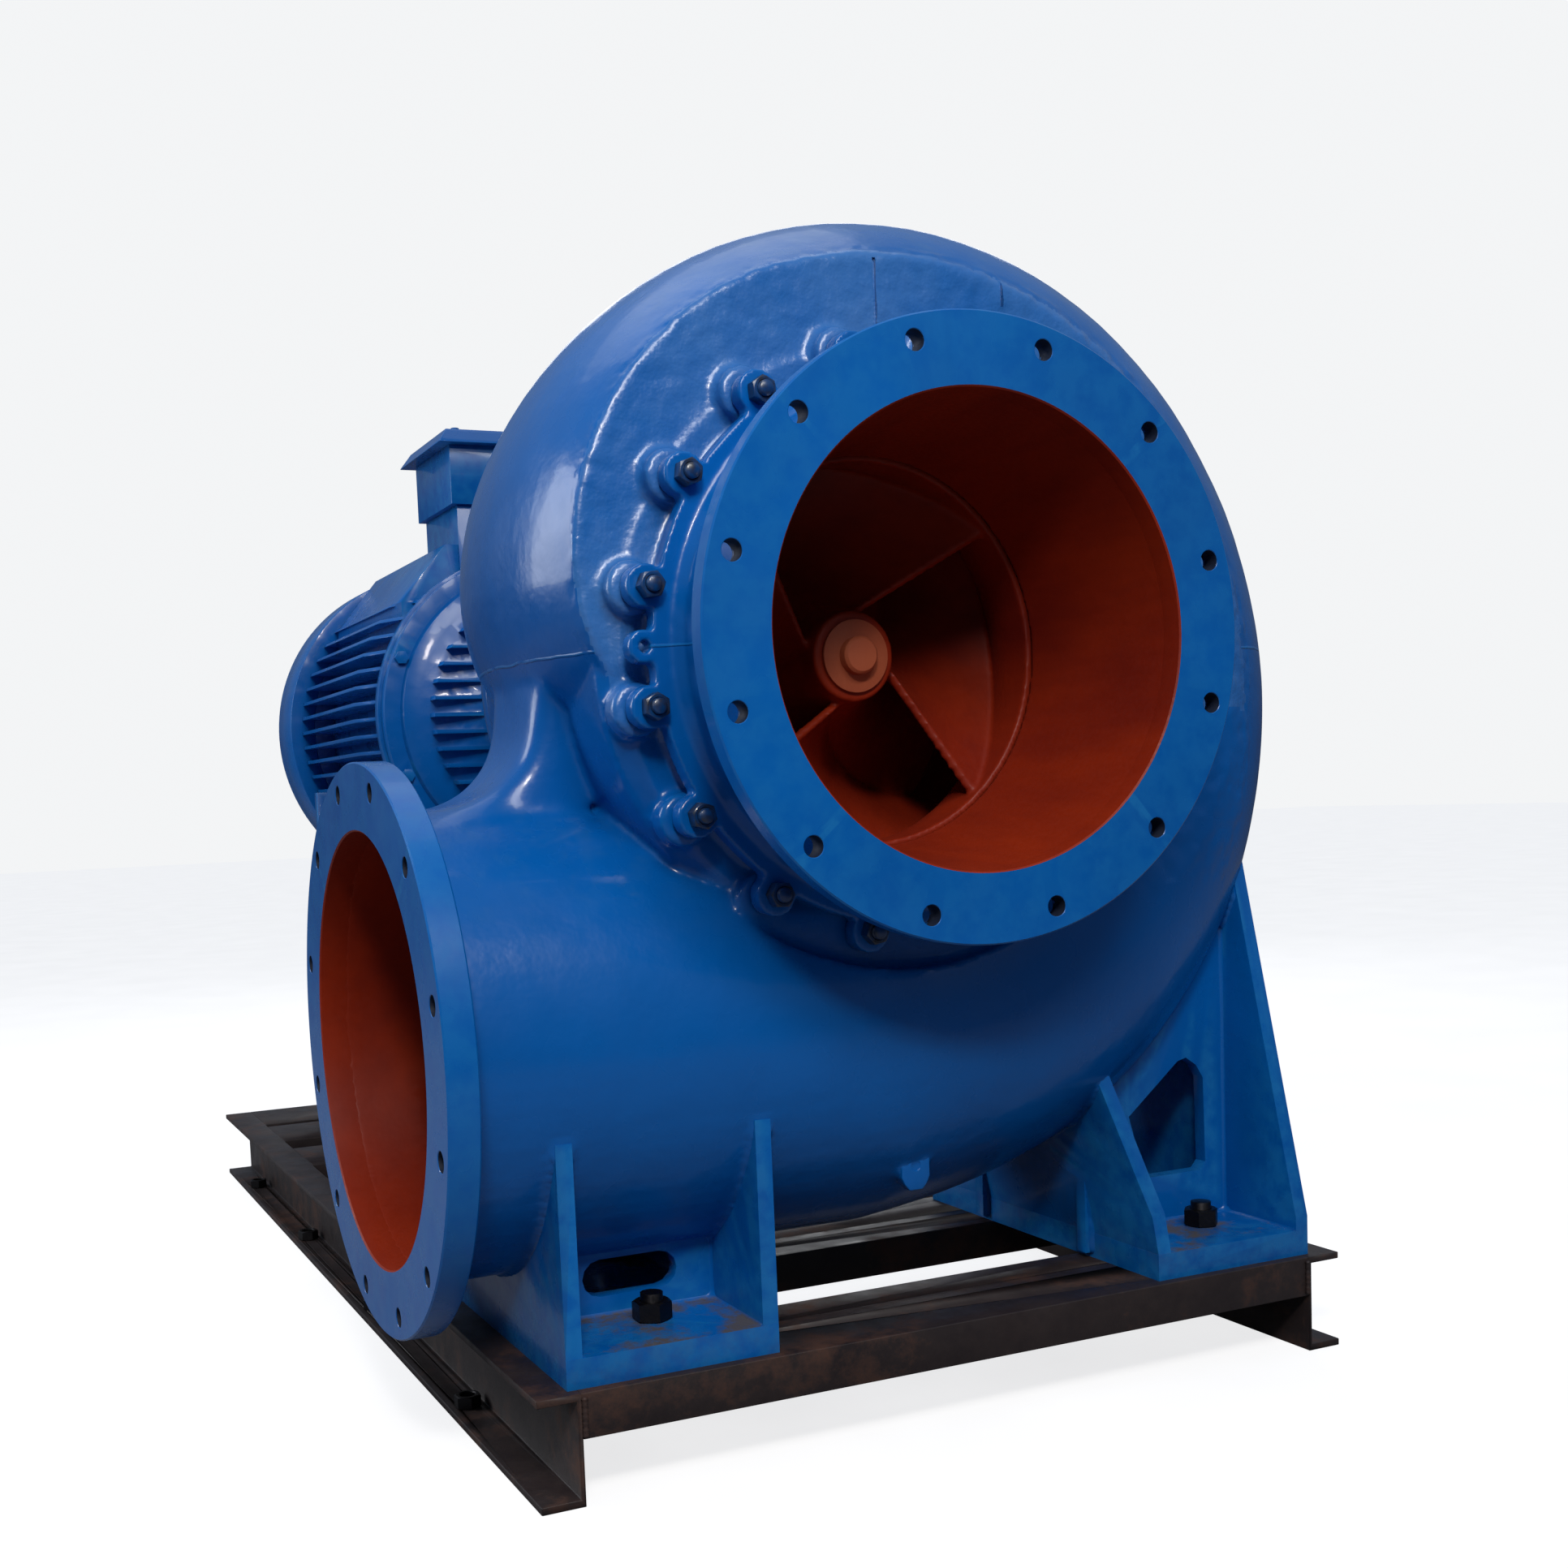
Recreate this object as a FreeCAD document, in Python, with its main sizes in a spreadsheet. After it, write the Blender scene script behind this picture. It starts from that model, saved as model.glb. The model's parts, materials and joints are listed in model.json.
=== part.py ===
import FreeCAD, Part
import math
import os

import Sketcher
from FreeCAD import Placement, Rotation, Vector

# Horizontal volute pump, driven by an electric motor through a pin coupling, on a steel skid.
#
# Millimetres, +Z up. The shaft runs along Y, with the suction flange facing -Y and the motor
# towards +Y, and the discharge flange faces -X. All sizes are measured from the shaft's axis
# (x = 0), the middle of the volute (y = 0) and the floor (z = 0). Every piece is then moved alike,
# so that the origin comes to lie on the floor at the middle of the skid's anchor bolts.

SIZES = {
    # Layout
    "shaft_height": 1042,
    "skid_height": 142,
    # The two pipe flanges share one standard drilling
    "flange_radius": 380,
    "flange_bore": 290,
    "flange_circle": 350,
    "flange_hole": 13,
    "suction_face": -478,
    "suction_flange_thick": 28,
    "discharge_face": -673,
    "discharge_flange_thick": 40,
    # Volute casing
    "wall": 22,
    "drum_radius": 415,
    "drum_half": 250,
    "front_opening": 320,
    "back_opening": 340,
    "pipe_radius": 315,
    "pipe_centre": 501,
    # Ring of studs between casing and suction cover
    "stud_circle": 375,
    "stud_radius": 10,
    "cover_seat": -272,
    "gasket_thick": 2,
    "cover_flange_front": -300,
    "lobe_radius": 25,
    # Suction cover
    "neck_front": 318,
    "neck_back": 328,
    "eye_radius": 262,
    "ring_seat": 292,
    "ring_front": -190,
    "spigot_end": -140,
    "spigot_radius": 319,
    # Feet of the casing
    "foot_plate_thick": 38,
    "foot_half_depth": 305,
    "rib_thick": 22,
    "left_foot_outer": -522,
    "left_foot_inner": -232,
    "right_foot_inner": 374,
    "right_foot_outer": 649,
    "foot_bolt_radius": 15,
    "foot_bolt_depth": 200,
    "left_foot_bolt": -364,
    "right_foot_bolt": 538,
    # Impeller
    "impeller_front": -188,
    "impeller_eye": 256,
    "impeller_eye_outer": 267,
    "shroud_outlet": 348,
    "hub_front": -146,
    "hub_radius": 62,
    "hub_outlet": 312,
    "hub_back": 150,
    "vane_thick": 12,
    # Shaft, along Y
    "bore_radius": 40,
    "sleeve_seat": 45,
    "sleeve_radius": 57,
    "bearing_seat": 55,
    "coupling_seat": 45,
    "key_width": 22,
    # Stuffing box
    "box_bore": 82,
    "box_radius": 112,
    "box_end": 420,
    "gland_radius": 128,
    "gland_stud_radius": 8,
    "gland_stud_circle": 104,
    # Bearing housing
    "housing_flange": 400,
    "barrel_radius": 150,
    "barrel_front": 520,
    "barrel_end": 800,
    "bearing_outer": 110,
    "bearing_width": 55,
    "front_bearing": 545,
    "rear_bearing": 720,
    # Coupling
    "coupling_radius": 170,
    "coupling_hub": 92,
    "coupling_face": 955,
    "coupling_gap": 5,
    "coupling_flange_thick": 42,
    "pin_circle": 132,
    "pin_radius": 10,
    "bush_radius": 20,
    # Motor
    "motor_front": 1231,
    "motor_back": 1872,
    "motor_bore": 262,
    "motor_skin": 282,
    "fin_radius": 354,
    "fin_thick": 7,
    "fin_pitch": 34,
    "saddle_half": 160,
    "saddle_top": 1398,
    "motor_feet": 687,
    "motor_bolt_x": 305,
    "motor_bolt_radius": 12,
    "motor_shaft_radius": 47,
    "stator_bore": 175,
    "cowl_radius": 380,
    "cowl_end": 2085,
    # Terminal box
    "riser_half": 132,
    "riser_front": 1268,
    "riser_back": 1506,
    "box_half": 146,
    "box_front": 1256,
    "box_back": 1518,
    "box_bottom": 1478,
    "box_top": 1598,
    "lid_lip": 28,
    # Skid
    "rail_left": -515,
    "rail_right": 642,
    "rail_front": -320,
    "rail_back": 1995,
    "rail_flange": 58,
    "rail_web": 6,
    "rail_flange_thick": 10,
    "beam_width": 203,
    "beam_lip": 58,
    "beam_thick": 10,
    "anchor_hole": 11,
    "anchor_front": 76,
    "anchor_pitch": 555,
}

# Counts, and lesser sizes that nothing else follows
VANES = 4
COVER_STUDS = 16
STUD_START = 11.25
STUD_DEPTH = 32
BACK_STUDS = 12
BACK_WALL = 40
FLANGE_HOLES = 12
LUG_X = 12
SLEEVE_END = 480
PACKING_START = 232
PACKING_WIDTH = 25
RUNNING_GAP = 0.05
RACE_SHARE = 0.28
KEY_DEPTH = 7
IMPELLER_KEY = (-90, 60)
PUMP_KEY = (850, 913)
MOTOR_KEY = (975, 1090)
COUPLING_KEY_WIDTH = 24
COUPLING_PINS = 8
SHIELD_NOSE = 1128
SHIELD_BOLT_RADIUS = 8
MOTOR_FRONT_BEARING = 1165
MOTOR_REAR_BEARING = 1885
MOTOR_BEARING_WIDTH = 50
MOTOR_BEARING_OUTER = 90
MOTOR_SEAT = 50
CORE_SEAT = 65
FAN_SEAT = 30
FAN_BLADES = 9
FIN_ROWS = 7
MOTOR_FOOT_THICK = 30
PASSAGE_RADIUS = 70
BOX_WALL = 9
ENTRY_RADIUS = 28
ENTRY_UP = 55
PEDESTAL_PLATE = 20
ANCHOR_OUT = 32


class Size:
    """A number from the sheet, with the expression that gives it."""

    def __init__(self, value, text):
        self.value = value
        self.text = text

    def joined(self, sign, other, value):
        return Size(value, f"({self.text} {sign} {other.text})")

    def __add__(self, other):
        other = as_size(other)
        return self.joined("+", other, self.value + other.value)

    def __sub__(self, other):
        other = as_size(other)
        return self.joined("-", other, self.value - other.value)

    def __mul__(self, other):
        other = as_size(other)
        return self.joined("*", other, self.value * other.value)

    def __truediv__(self, other):
        other = as_size(other)
        return self.joined("/", other, self.value / other.value)

    def __radd__(self, other):
        return as_size(other) + self

    def __rsub__(self, other):
        return as_size(other) - self

    def __rmul__(self, other):
        return as_size(other) * self

    def __neg__(self):
        return as_size(0) - self


def as_size(number):
    return number if isinstance(number, Size) else Size(float(number), f"({float(number):.6f})")


class Sheet:
    """The driving dimensions: sheet.shaft_height is the size in the cell with that alias."""

    def __init__(self, document, sizes):
        self.cells = document.addObject("Spreadsheet::Sheet", "Sizes")
        for row, (alias, value) in enumerate(sizes.items(), start=1):
            self.cells.set(f"A{row}", alias)
            self.cells.set(f"B{row}", str(value))
            self.cells.setAlias(f"B{row}", alias)
            setattr(self, alias, Size(float(value), f"Sizes.{alias}"))


doc = FreeCAD.newDocument("pump")
d = Sheet(doc, SIZES)
doc.recompute()

# The middle of the anchor bolts, which is the origin of the finished assembly
MIDDLE_X = (d.rail_left + d.rail_right) / 2
MIDDLE_Y = d.anchor_front + d.anchor_pitch * 1.5

SUB_PARTS = []


# ---------------------------------------------------------------- building blocks


def bind(thing, field, size):
    """Ties a property to the sheet."""
    thing.setExpression(field, as_size(size).text)


def sub_part(thing, label):
    """Names a finished piece and lists it for export."""
    thing.Label = label
    SUB_PARTS.append(thing)
    return thing


def set_corner(thing, x, y, z):
    """Binds where a thing stands, measured as the sheet measures, to the assembly's origin."""
    for axis, size in (("x", x - MIDDLE_X), ("y", y - MIDDLE_Y), ("z", as_size(z))):
        bind(thing, f"Placement.Base.{axis}", size)
    return thing


def raise_to_shaft(thing):
    return set_corner(thing, 0, 0, d.shaft_height)


def new_body(label, on_shaft=True):
    """A PartDesign body whose own y axis is the shaft's axis, or stands on the floor."""
    body = sub_part(doc.addObject("PartDesign::Body", label), label)
    return raise_to_shaft(body) if on_shaft else set_corner(body, 0, 0, 0)


def origin_feature(body, role):
    return next(f for f in body.Origin.OriginFeatures if f.Role == role)


def new_sketch(body, plane, offset=0):
    sketch = body.newObject("Sketcher::SketchObject", "Sketch")
    sketch.AttachmentSupport = (origin_feature(body, plane), [""])
    sketch.MapMode = "FlatFace"
    bind(sketch, "AttachmentOffset.Base.z", offset)
    return sketch


def tie_point(sketch, geometry, end, across, up):
    """Holds one point of a sketch at sizes measured from the sketch's origin."""
    for kind, size in (("DistanceX", as_size(across)), ("DistanceY", as_size(up))):
        rule = Sketcher.Constraint(kind, -1, 1, geometry, end, size.value)
        index = sketch.addConstraint(rule)
        sketch.setExpression(f"Constraints[{index}]", size.text)


def outline(sketch, points):
    """A closed outline of straight lines."""
    first = sketch.GeometryCount
    spots = [Vector(as_size(a).value, as_size(b).value, 0) for a, b in points]
    count = len(points)
    for i in range(count):
        sketch.addGeometry(Part.LineSegment(spots[i], spots[(i + 1) % count]), False)
    for i in range(count):
        following = first + (i + 1) % count
        sketch.addConstraint(Sketcher.Constraint("Coincident", first + i, 2, following, 1))
        tie_point(sketch, first + i, 1, *points[i])
    return sketch


def circle(sketch, across, up, radius):
    """A full circle."""
    across, up, radius = as_size(across), as_size(up), as_size(radius)
    centre = Vector(across.value, up.value, 0)
    shape = Part.Circle(centre, Vector(0, 0, 1), radius.value)
    geometry = sketch.addGeometry(shape, False)
    tie_point(sketch, geometry, 3, across, up)
    index = sketch.addConstraint(Sketcher.Constraint("Radius", geometry, radius.value))
    sketch.setExpression(f"Constraints[{index}]", radius.text)
    return sketch


def turn(body, points, cut=False):
    """Revolves (y, radius) points about the shaft's axis, to add or to cut."""
    sketch = outline(new_sketch(body, "YZ_Plane"), points)
    kind = "PartDesign::Groove" if cut else "PartDesign::Revolution"
    feature = body.newObject(kind, "Turned")
    feature.Profile = sketch
    feature.ReferenceAxis = (sketch, ["H_Axis"])
    feature.Angle = 360
    return feature


def pad(body, sketch, length, backwards=False):
    feature = body.newObject("PartDesign::Pad", "Pad")
    feature.Profile = sketch
    feature.Reversed = backwards
    bind(feature, "Length", length)
    return feature


def pocket(body, sketch, length, backwards=False):
    feature = body.newObject("PartDesign::Pocket", "Pocket")
    feature.Profile = sketch
    feature.Reversed = backwards
    bind(feature, "Length", length)
    return feature


def along_y(body, start):
    """A sketch facing -Y, at y = start: a pad on it grows towards -Y, a pocket cuts towards +Y."""
    return new_sketch(body, "XZ_Plane", -as_size(start))


def ring_of_circles(sketch, pitch_radius, count, start_degrees, radius, centre_up=0):
    """Equal circles spaced evenly round a centre on the sketch's y axis."""
    for i in range(count):
        angle = math.radians(start_degrees + 360 * i / count)
        across = as_size(pitch_radius) * math.cos(angle)
        circle(sketch, across, as_size(centre_up) + as_size(pitch_radius) * math.sin(angle), radius)
    return sketch


def place(thing, x, y, z, rotation=None):
    """Puts a primitive at a corner or centre that the sheet gives."""
    thing.Placement = Placement(Vector(), rotation or Rotation())
    return set_corner(thing, x, y, z)


ALONG_Y = Rotation(Vector(1, 0, 0), -90)
ALONG_X = Rotation(Vector(0, 1, 0), 90)


def box(x0, x1, y0, y1, z0, z1):
    """A block between opposite corners."""
    block = doc.addObject("Part::Box", "Block")
    bind(block, "Length", as_size(x1) - x0)
    bind(block, "Width", as_size(y1) - y0)
    bind(block, "Height", as_size(z1) - z0)
    return place(block, x0, y0, z0)


def cylinder(radius, length, x, y, z, rotation=None):
    """A cylinder whose first end face is centred on x, y, z."""
    round_bar = doc.addObject("Part::Cylinder", "Bar")
    bind(round_bar, "Radius", radius)
    bind(round_bar, "Height", length)
    return place(round_bar, x, y, z, rotation)


def hexagon(across_flats, length, x, y, z, rotation=None):
    prism = doc.addObject("Part::Prism", "Hexagon")
    prism.Polygon = 6
    bind(prism, "Circumradius", as_size(across_flats) * (1 / math.sqrt(3)))
    bind(prism, "Height", length)
    return place(prism, x, y, z, rotation)


def cut(base, tool):
    feature = doc.addObject("Part::Cut", "Cut")
    feature.Base = base
    feature.Tool = tool
    return feature


def fuse(pieces):
    feature = doc.addObject("Part::MultiFuse", "Fuse")
    feature.Shapes = pieces
    return feature


def common(pieces):
    feature = doc.addObject("Part::MultiCommon", "Common")
    feature.Shapes = pieces
    return feature


def group(label, pieces):
    """Identical loose pieces, such as nuts, kept as separate solids of one sub-part."""
    feature = doc.addObject("Part::Compound", label)
    feature.Links = pieces
    return sub_part(feature, label)


def nut(across_flats, length, bore, x, y, z, rotation=None):
    outside = hexagon(across_flats, length, x, y, z, rotation)
    return cut(outside, cylinder(bore, length, x, y, z, rotation))


def ring_spots(radius, count, start_degrees):
    """Places (x, z) on a circle about the shaft's axis."""
    for i in range(count):
        angle = math.radians(start_degrees + 360 * i / count)
        yield as_size(radius) * math.cos(angle), d.shaft_height + as_size(radius) * math.sin(angle)


def ring(y, width, inner, outer):
    """A loose ring about the shaft's axis, to go in a group."""
    outside = cylinder(outer, width, 0, y, d.shaft_height, ALONG_Y)
    return cut(outside, cylinder(inner, width, 0, y, d.shaft_height, ALONG_Y))


def tube(label, y0, y1, inner, outer):
    """A plain ring about the shaft's axis."""
    body = new_body(label)
    turn(body, [(y0, inner), (y1, inner), (y1, outer), (y0, outer)])
    return body


# ---------------------------------------------------------------- volute casing

# Sections of the volute, clockwise seen from the suction side: degrees past twelve o'clock,
# outer radius, bulge of the rim beyond the flat front, half width, and the radius where the
# flat front begins. The last one is the round section of the discharge pipe.
VOLUTE = [
    (-115, 380, 45, 236, 300),
    (-100, 418, 45, 240, 335),
    (-90, 462, 45, 243, 380),
    (-75, 500, 45, 245, 400),
    (-55, 531, 46, 246, 400),
    (-30, 564, 60, 246, 400),
    (0, 608, 98, 246, 400),
    (30, 660, 132, 246, 400),
    (60, 708, 158, 246, 400),
    (90, 757, 184, 248, 405),
    (120, 793, 224, 262, 430),
    (150, 811, 270, 288, 470),
    (180, 816, 315, 315, 500),
]


def arc(sketch, centre, radius, start, stop):
    """An arc run counterclockwise between two angles in radians, its centre on the y axis."""
    whole = Part.Circle(Vector(0, centre.value, 0), Vector(0, 0, 1), radius.value)
    return sketch.addGeometry(Part.ArcOfCircle(whole, start, stop), False)


def volute_section(body, degrees, outer, bulge, half, flat):
    """Flat front and back, a bulging rim outside and a half circle inside."""
    sketch = body.newObject("Sketcher::SketchObject", "Section")
    sketch.AttachmentSupport = (origin_feature(body, "YZ_Plane"), [""])
    sketch.MapMode = "FlatFace"
    sketch.AttachmentOffset = Placement(Vector(), Rotation(Vector(1, 0, 0), degrees))
    shoulder = outer - bulge
    rim = (half * half + bulge * bulge) / (bulge * 2)
    rim_centre = outer - rim
    lean = math.atan2(shoulder.value - rim_centre.value, half.value)
    start = Vector(-half.value, flat.value, 0)
    end = Vector(-half.value, shoulder.value, 0)
    front = sketch.addGeometry(Part.LineSegment(start, end), False)
    rim_arc = arc(sketch, rim_centre, rim, lean, math.pi - lean)
    start = Vector(half.value, shoulder.value, 0)
    end = Vector(half.value, flat.value, 0)
    back = sketch.addGeometry(Part.LineSegment(start, end), False)
    inside = arc(sketch, flat, half, math.pi, 2 * math.pi)
    joints = ((front, 2, rim_arc, 2), (rim_arc, 1, back, 1), (back, 2, inside, 2), (inside, 1, front, 1))
    for one, one_end, other, other_end in joints:
        sketch.addConstraint(Sketcher.Constraint("Coincident", one, one_end, other, other_end))
    tie_point(sketch, front, 1, -half, flat)
    tie_point(sketch, front, 2, -half, shoulder)
    tie_point(sketch, back, 1, half, shoulder)
    tie_point(sketch, back, 2, half, flat)
    for geometry, centre in ((rim_arc, rim_centre), (inside, flat)):
        rule = Sketcher.Constraint("DistanceY", -1, 1, geometry, 3, centre.value)
        index = sketch.addConstraint(rule)
        sketch.setExpression(f"Constraints[{index}]", centre.text)
    return sketch


def volute(body, wall):
    """The spiral, from beside the tongue round to the discharge pipe, shrunk by a wall."""
    sections = []
    for degrees, outer, bulge, half, flat in VOLUTE:
        inner_half = half - wall
        inner_bulge = inner_half * (bulge / half)
        sections.append(
            volute_section(body, degrees, outer - wall, inner_bulge, inner_half, as_size(flat))
        )
    loft = body.newObject("PartDesign::AdditiveLoft", "Volute")
    loft.Profile = sections[0]
    loft.Sections = [(section, [""]) for section in sections[1:]]
    return loft


def foot_plate(body, x0, x1):
    """The machined plate that stands on the skid."""
    level = d.skid_height - d.shaft_height
    sketch = new_sketch(body, "XY_Plane", level)
    depth = d.foot_half_depth
    outline(sketch, [(x0, -depth), (x1, -depth), (x1, depth), (x0, depth)])
    pad(body, sketch, d.foot_plate_thick)


def foot_rib(body, x, points, tilt=0):
    """A side rib: (y, height above the floor) points of one half, mirrored in y = 0."""
    sketch = new_sketch(body, "YZ_Plane", x)
    sketch.AttachmentOffset = Placement(Vector(0, 0, as_size(x).value), Rotation(Vector(1, 0, 0), tilt))
    bind(sketch, "AttachmentOffset.Base.z", x)
    half = [(as_size(y), z - d.shaft_height) for y, z in points]
    outline(sketch, half + [(-y, z) for y, z in reversed(half)])
    pad(body, sketch, d.rib_thick)


def foot_web(body, points, front):
    """An upright plate between two ribs: (x, height) points, thickness towards -Y."""
    sketch = along_y(body, front + d.rib_thick)
    outline(sketch, [(x, z - d.shaft_height) for x, z in points])
    pad(body, sketch, d.rib_thick)


def window(body, points):
    """A hole through both upright plates of one foot."""
    for start in (as_size(FOOT_WEB_FRONT) - 15, -FOOT_WEB_FRONT - d.rib_thick - 8):
        sketch = along_y(body, start)
        outline(sketch, [(x, z - d.shaft_height) for x, z in points])
        pocket(body, sketch, d.rib_thick + 20)


def slot_points(x0, x1, z, radius):
    """The outline of a slot with round ends."""
    points = []
    for centre, start in ((x1 - radius, -90), (x0 + radius, 90)):
        for step in range(7):
            angle = math.radians(start + 30 * step)
            points.append((centre + radius * math.cos(angle), z + radius * math.sin(angle)))
    return points


FOOT_WEB_FRONT = -150
TONGUE_RADIUS = 119
TONGUE_EDGE = -452


def tongue(body):
    """The concave web that joins the start of the spiral to the top of the discharge pipe."""
    pipe_top = d.pipe_radius - d.pipe_centre
    centre_x = TONGUE_EDGE - TONGUE_RADIUS
    centre_z = pipe_top + TONGUE_RADIUS
    points = [(TONGUE_EDGE, centre_z + 30)]
    for step in range(9):
        angle = math.radians(90 * step / 8)
        across = centre_x + TONGUE_RADIUS * math.cos(angle)
        points.append((across, centre_z - TONGUE_RADIUS * math.sin(angle)))
    low = pipe_top - 40
    points += [(centre_x, low), (TONGUE_EDGE + 70, low), (TONGUE_EDGE + 70, centre_z + 30)]
    half_width = 105
    pad(body, outline(along_y(body, half_width), points), half_width * 2)


LEFT_RIB = [(-305, 150), (-303, 446)]
INNER_RIGHT_RIB = [(-305, 140), (-303, 225), (-205, 455)]
OUTER_RIGHT_RIB = [(-305, 150), (-305, 200), (-172, 742)]
LEFT_WEB = [(-510, 150), (-244, 150), (-244, 300), (-510, 300)]
RIGHT_WEB = [(362, 150), (638, 150), (638, 690), (362, 470)]
RIGHT_WINDOW = [
    (446, 348), (474, 250), (580, 250), (590, 262), (588, 394), (575, 415), (556, 428), (540, 424),
]


def casing_feet(body):
    """Two feet, each a plate with two ribs and two webs between them."""
    foot_plate(body, d.left_foot_outer, d.left_foot_inner)
    foot_plate(body, d.right_foot_inner, d.right_foot_outer)
    foot_rib(body, d.left_foot_outer, LEFT_RIB)
    foot_rib(body, d.left_foot_inner - d.rib_thick, LEFT_RIB)
    foot_rib(body, d.right_foot_inner - 133, INNER_RIGHT_RIB, tilt=-8.8)
    foot_rib(body, d.right_foot_outer - d.rib_thick, OUTER_RIGHT_RIB)
    for web in (LEFT_WEB, RIGHT_WEB):
        foot_web(body, web, as_size(FOOT_WEB_FRONT))
        foot_web(body, web, -FOOT_WEB_FRONT - d.rib_thick)


def drain_lug(body):
    """A small pointed lug on the front of the spiral, cast for a drain."""
    top = 385 - d.shaft_height
    half = 21
    points = [(LUG_X - half, top), (LUG_X - half, top - 55), (LUG_X - 9, top - 74)]
    points += [(LUG_X + 9, top - 74), (LUG_X + half, top - 55), (LUG_X + half, top)]
    pad(body, outline(along_y(body, -235), points), 14)
    pocket(body, circle(along_y(body, -255), LUG_X, top - 40, 7), 30)


def casing_outside():
    """The casting before it is hollowed, with its flange, feet, seats and drilled holes."""
    body = loose_body("CasingOutside")
    half = d.drum_half
    rim = d.drum_radius
    turn(body, [
        (-half, 0), (-half, rim - 25), (25 - half, rim), (half - 25, rim), (half, rim - 25), (half, 0),
    ])
    volute(body, as_size(0))
    face = d.discharge_face
    below = -d.pipe_centre
    pad(body, circle(new_sketch(body, "YZ_Plane", face), 0, below, d.pipe_radius), -face)
    flange = circle(new_sketch(body, "YZ_Plane", face), 0, below, d.flange_radius)
    pad(body, flange, d.discharge_flange_thick)
    tongue(body)
    casing_feet(body)

    seat = d.cover_seat
    root = d.wall / 2 - half
    turn(body, [(root, 0), (root, 352), (seat, 352), (seat, 0)])
    lobes = ring_of_circles(along_y(body, root), d.stud_circle + 7, COVER_STUDS, STUD_START, 34)
    pad(body, lobes, root - seat)
    drain_lug(body)

    beyond = as_size(345)
    turn(body, [(-beyond, 0), (-beyond, 422), (seat, 422), (seat, 0)], cut=True)
    turn(body, [(half, 0), (half, 405), (beyond, 405), (beyond, 0)], cut=True)
    turn(body, [(seat, 0), (seat, d.front_opening), (0, d.front_opening), (0, 0)], cut=True)
    turn(body, [(0, 0), (0, d.back_opening), (half, d.back_opening), (half, 0)], cut=True)
    window(body, slot_points(-441, -306, 230, 25))
    window(body, RIGHT_WINDOW)
    drill_casing(body)
    return body


def drill_casing(body):
    """Flange holes, blind stud holes front and back, and holes for the foot bolts."""
    drilling = new_sketch(body, "YZ_Plane", d.discharge_face)
    ring_of_circles(drilling, d.flange_circle, FLANGE_HOLES, 15, d.flange_hole, -d.pipe_centre)
    pocket(body, drilling, d.discharge_flange_thick, backwards=True)
    for start, count, degrees in (
        (d.cover_seat, COVER_STUDS, STUD_START),
        (d.drum_half - STUD_DEPTH, BACK_STUDS, 15),
    ):
        holes = ring_of_circles(along_y(body, start), d.stud_circle, count, degrees, d.stud_radius)
        pocket(body, holes, STUD_DEPTH)
    for x in (d.left_foot_bolt, d.right_foot_bolt):
        for y in (-d.foot_bolt_depth, d.foot_bolt_depth):
            sole = new_sketch(body, "XY_Plane", d.skid_height - d.shaft_height)
            pocket(body, circle(sole, x, y, d.foot_bolt_radius + 1), d.foot_plate_thick, backwards=True)


def casing_cavity():
    """The water passage: the spiral less a wall, the impeller's chamber and the outlet bore."""
    body = loose_body("CasingCavity")
    volute(body, d.wall)
    front = d.wall - d.drum_half
    back = d.drum_half - BACK_WALL
    inner = d.drum_radius - d.wall
    turn(body, [(front, 0), (front, inner), (back, inner), (back, 0)])
    bore = circle(new_sketch(body, "YZ_Plane", d.discharge_face), 0, -d.pipe_centre, d.flange_bore)
    pad(body, bore, 40 - d.discharge_face)
    beyond = as_size(345)
    reach = 444
    turn(body, [(-beyond, 0), (-beyond, reach), (front, reach), (front, 0)], cut=True)
    turn(body, [(back, 0), (back, reach), (beyond, reach), (beyond, 0)], cut=True)
    return body


def volute_casing():
    sub_part(cut(casing_outside(), casing_cavity()), "volute_casing")


# ---------------------------------------------------------------- suction side


def suction_cover():
    """The bolted cover that carries the suction flange and guides the water into the eye."""
    body = new_body("suction_cover")
    face = d.suction_face
    back = face + d.suction_flange_thick
    front = d.cover_flange_front
    seat = d.cover_seat - d.gasket_thick
    turn(body, [
        (face, d.flange_bore), (face, d.flange_radius), (back, d.flange_radius),
        (back, d.neck_front + 10), (back + 12, d.neck_front), (front - 14, d.neck_back),
        (front, d.neck_back + 12), (front, d.stud_circle - 12), (seat, d.stud_circle - 12),
        (seat, d.spigot_radius), (d.spigot_end, d.spigot_radius), (d.spigot_end, d.ring_seat),
        (d.ring_front, d.ring_seat), (d.ring_front, d.eye_radius),
    ])
    thick = seat - front
    lobes = along_y(body, seat)
    ring_of_circles(lobes, d.stud_circle + 1, COVER_STUDS, STUD_START, d.lobe_radius + 2)
    pad(body, lobes, thick)
    pad(body, ring_of_circles(along_y(body, seat), d.stud_circle, 2, 0, d.lobe_radius - 4), thick)
    holes = ring_of_circles(along_y(body, front), d.stud_circle, COVER_STUDS, STUD_START, d.stud_radius + 1)
    pocket(body, holes, thick)
    pocket(body, ring_of_circles(along_y(body, front), d.stud_circle, 2, 0, 8), thick)
    drilling = ring_of_circles(along_y(body, face), d.flange_circle, FLANGE_HOLES, 15, d.flange_hole)
    pocket(body, drilling, d.suction_flange_thick)


def cover_fasteners():
    studs, nuts = [], []
    for x, z in ring_spots(d.stud_circle, COVER_STUDS, STUD_START):
        start = d.cover_flange_front - 26
        studs.append(cylinder(d.stud_radius, d.cover_seat + STUD_DEPTH - start, x, start, z, ALONG_Y))
        nuts.append(nut(30, 18, d.stud_radius, x, d.cover_flange_front - 18, z, ALONG_Y))
    group("cover_studs", studs)
    group("cover_nuts", nuts)


# ---------------------------------------------------------------- impeller


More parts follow.
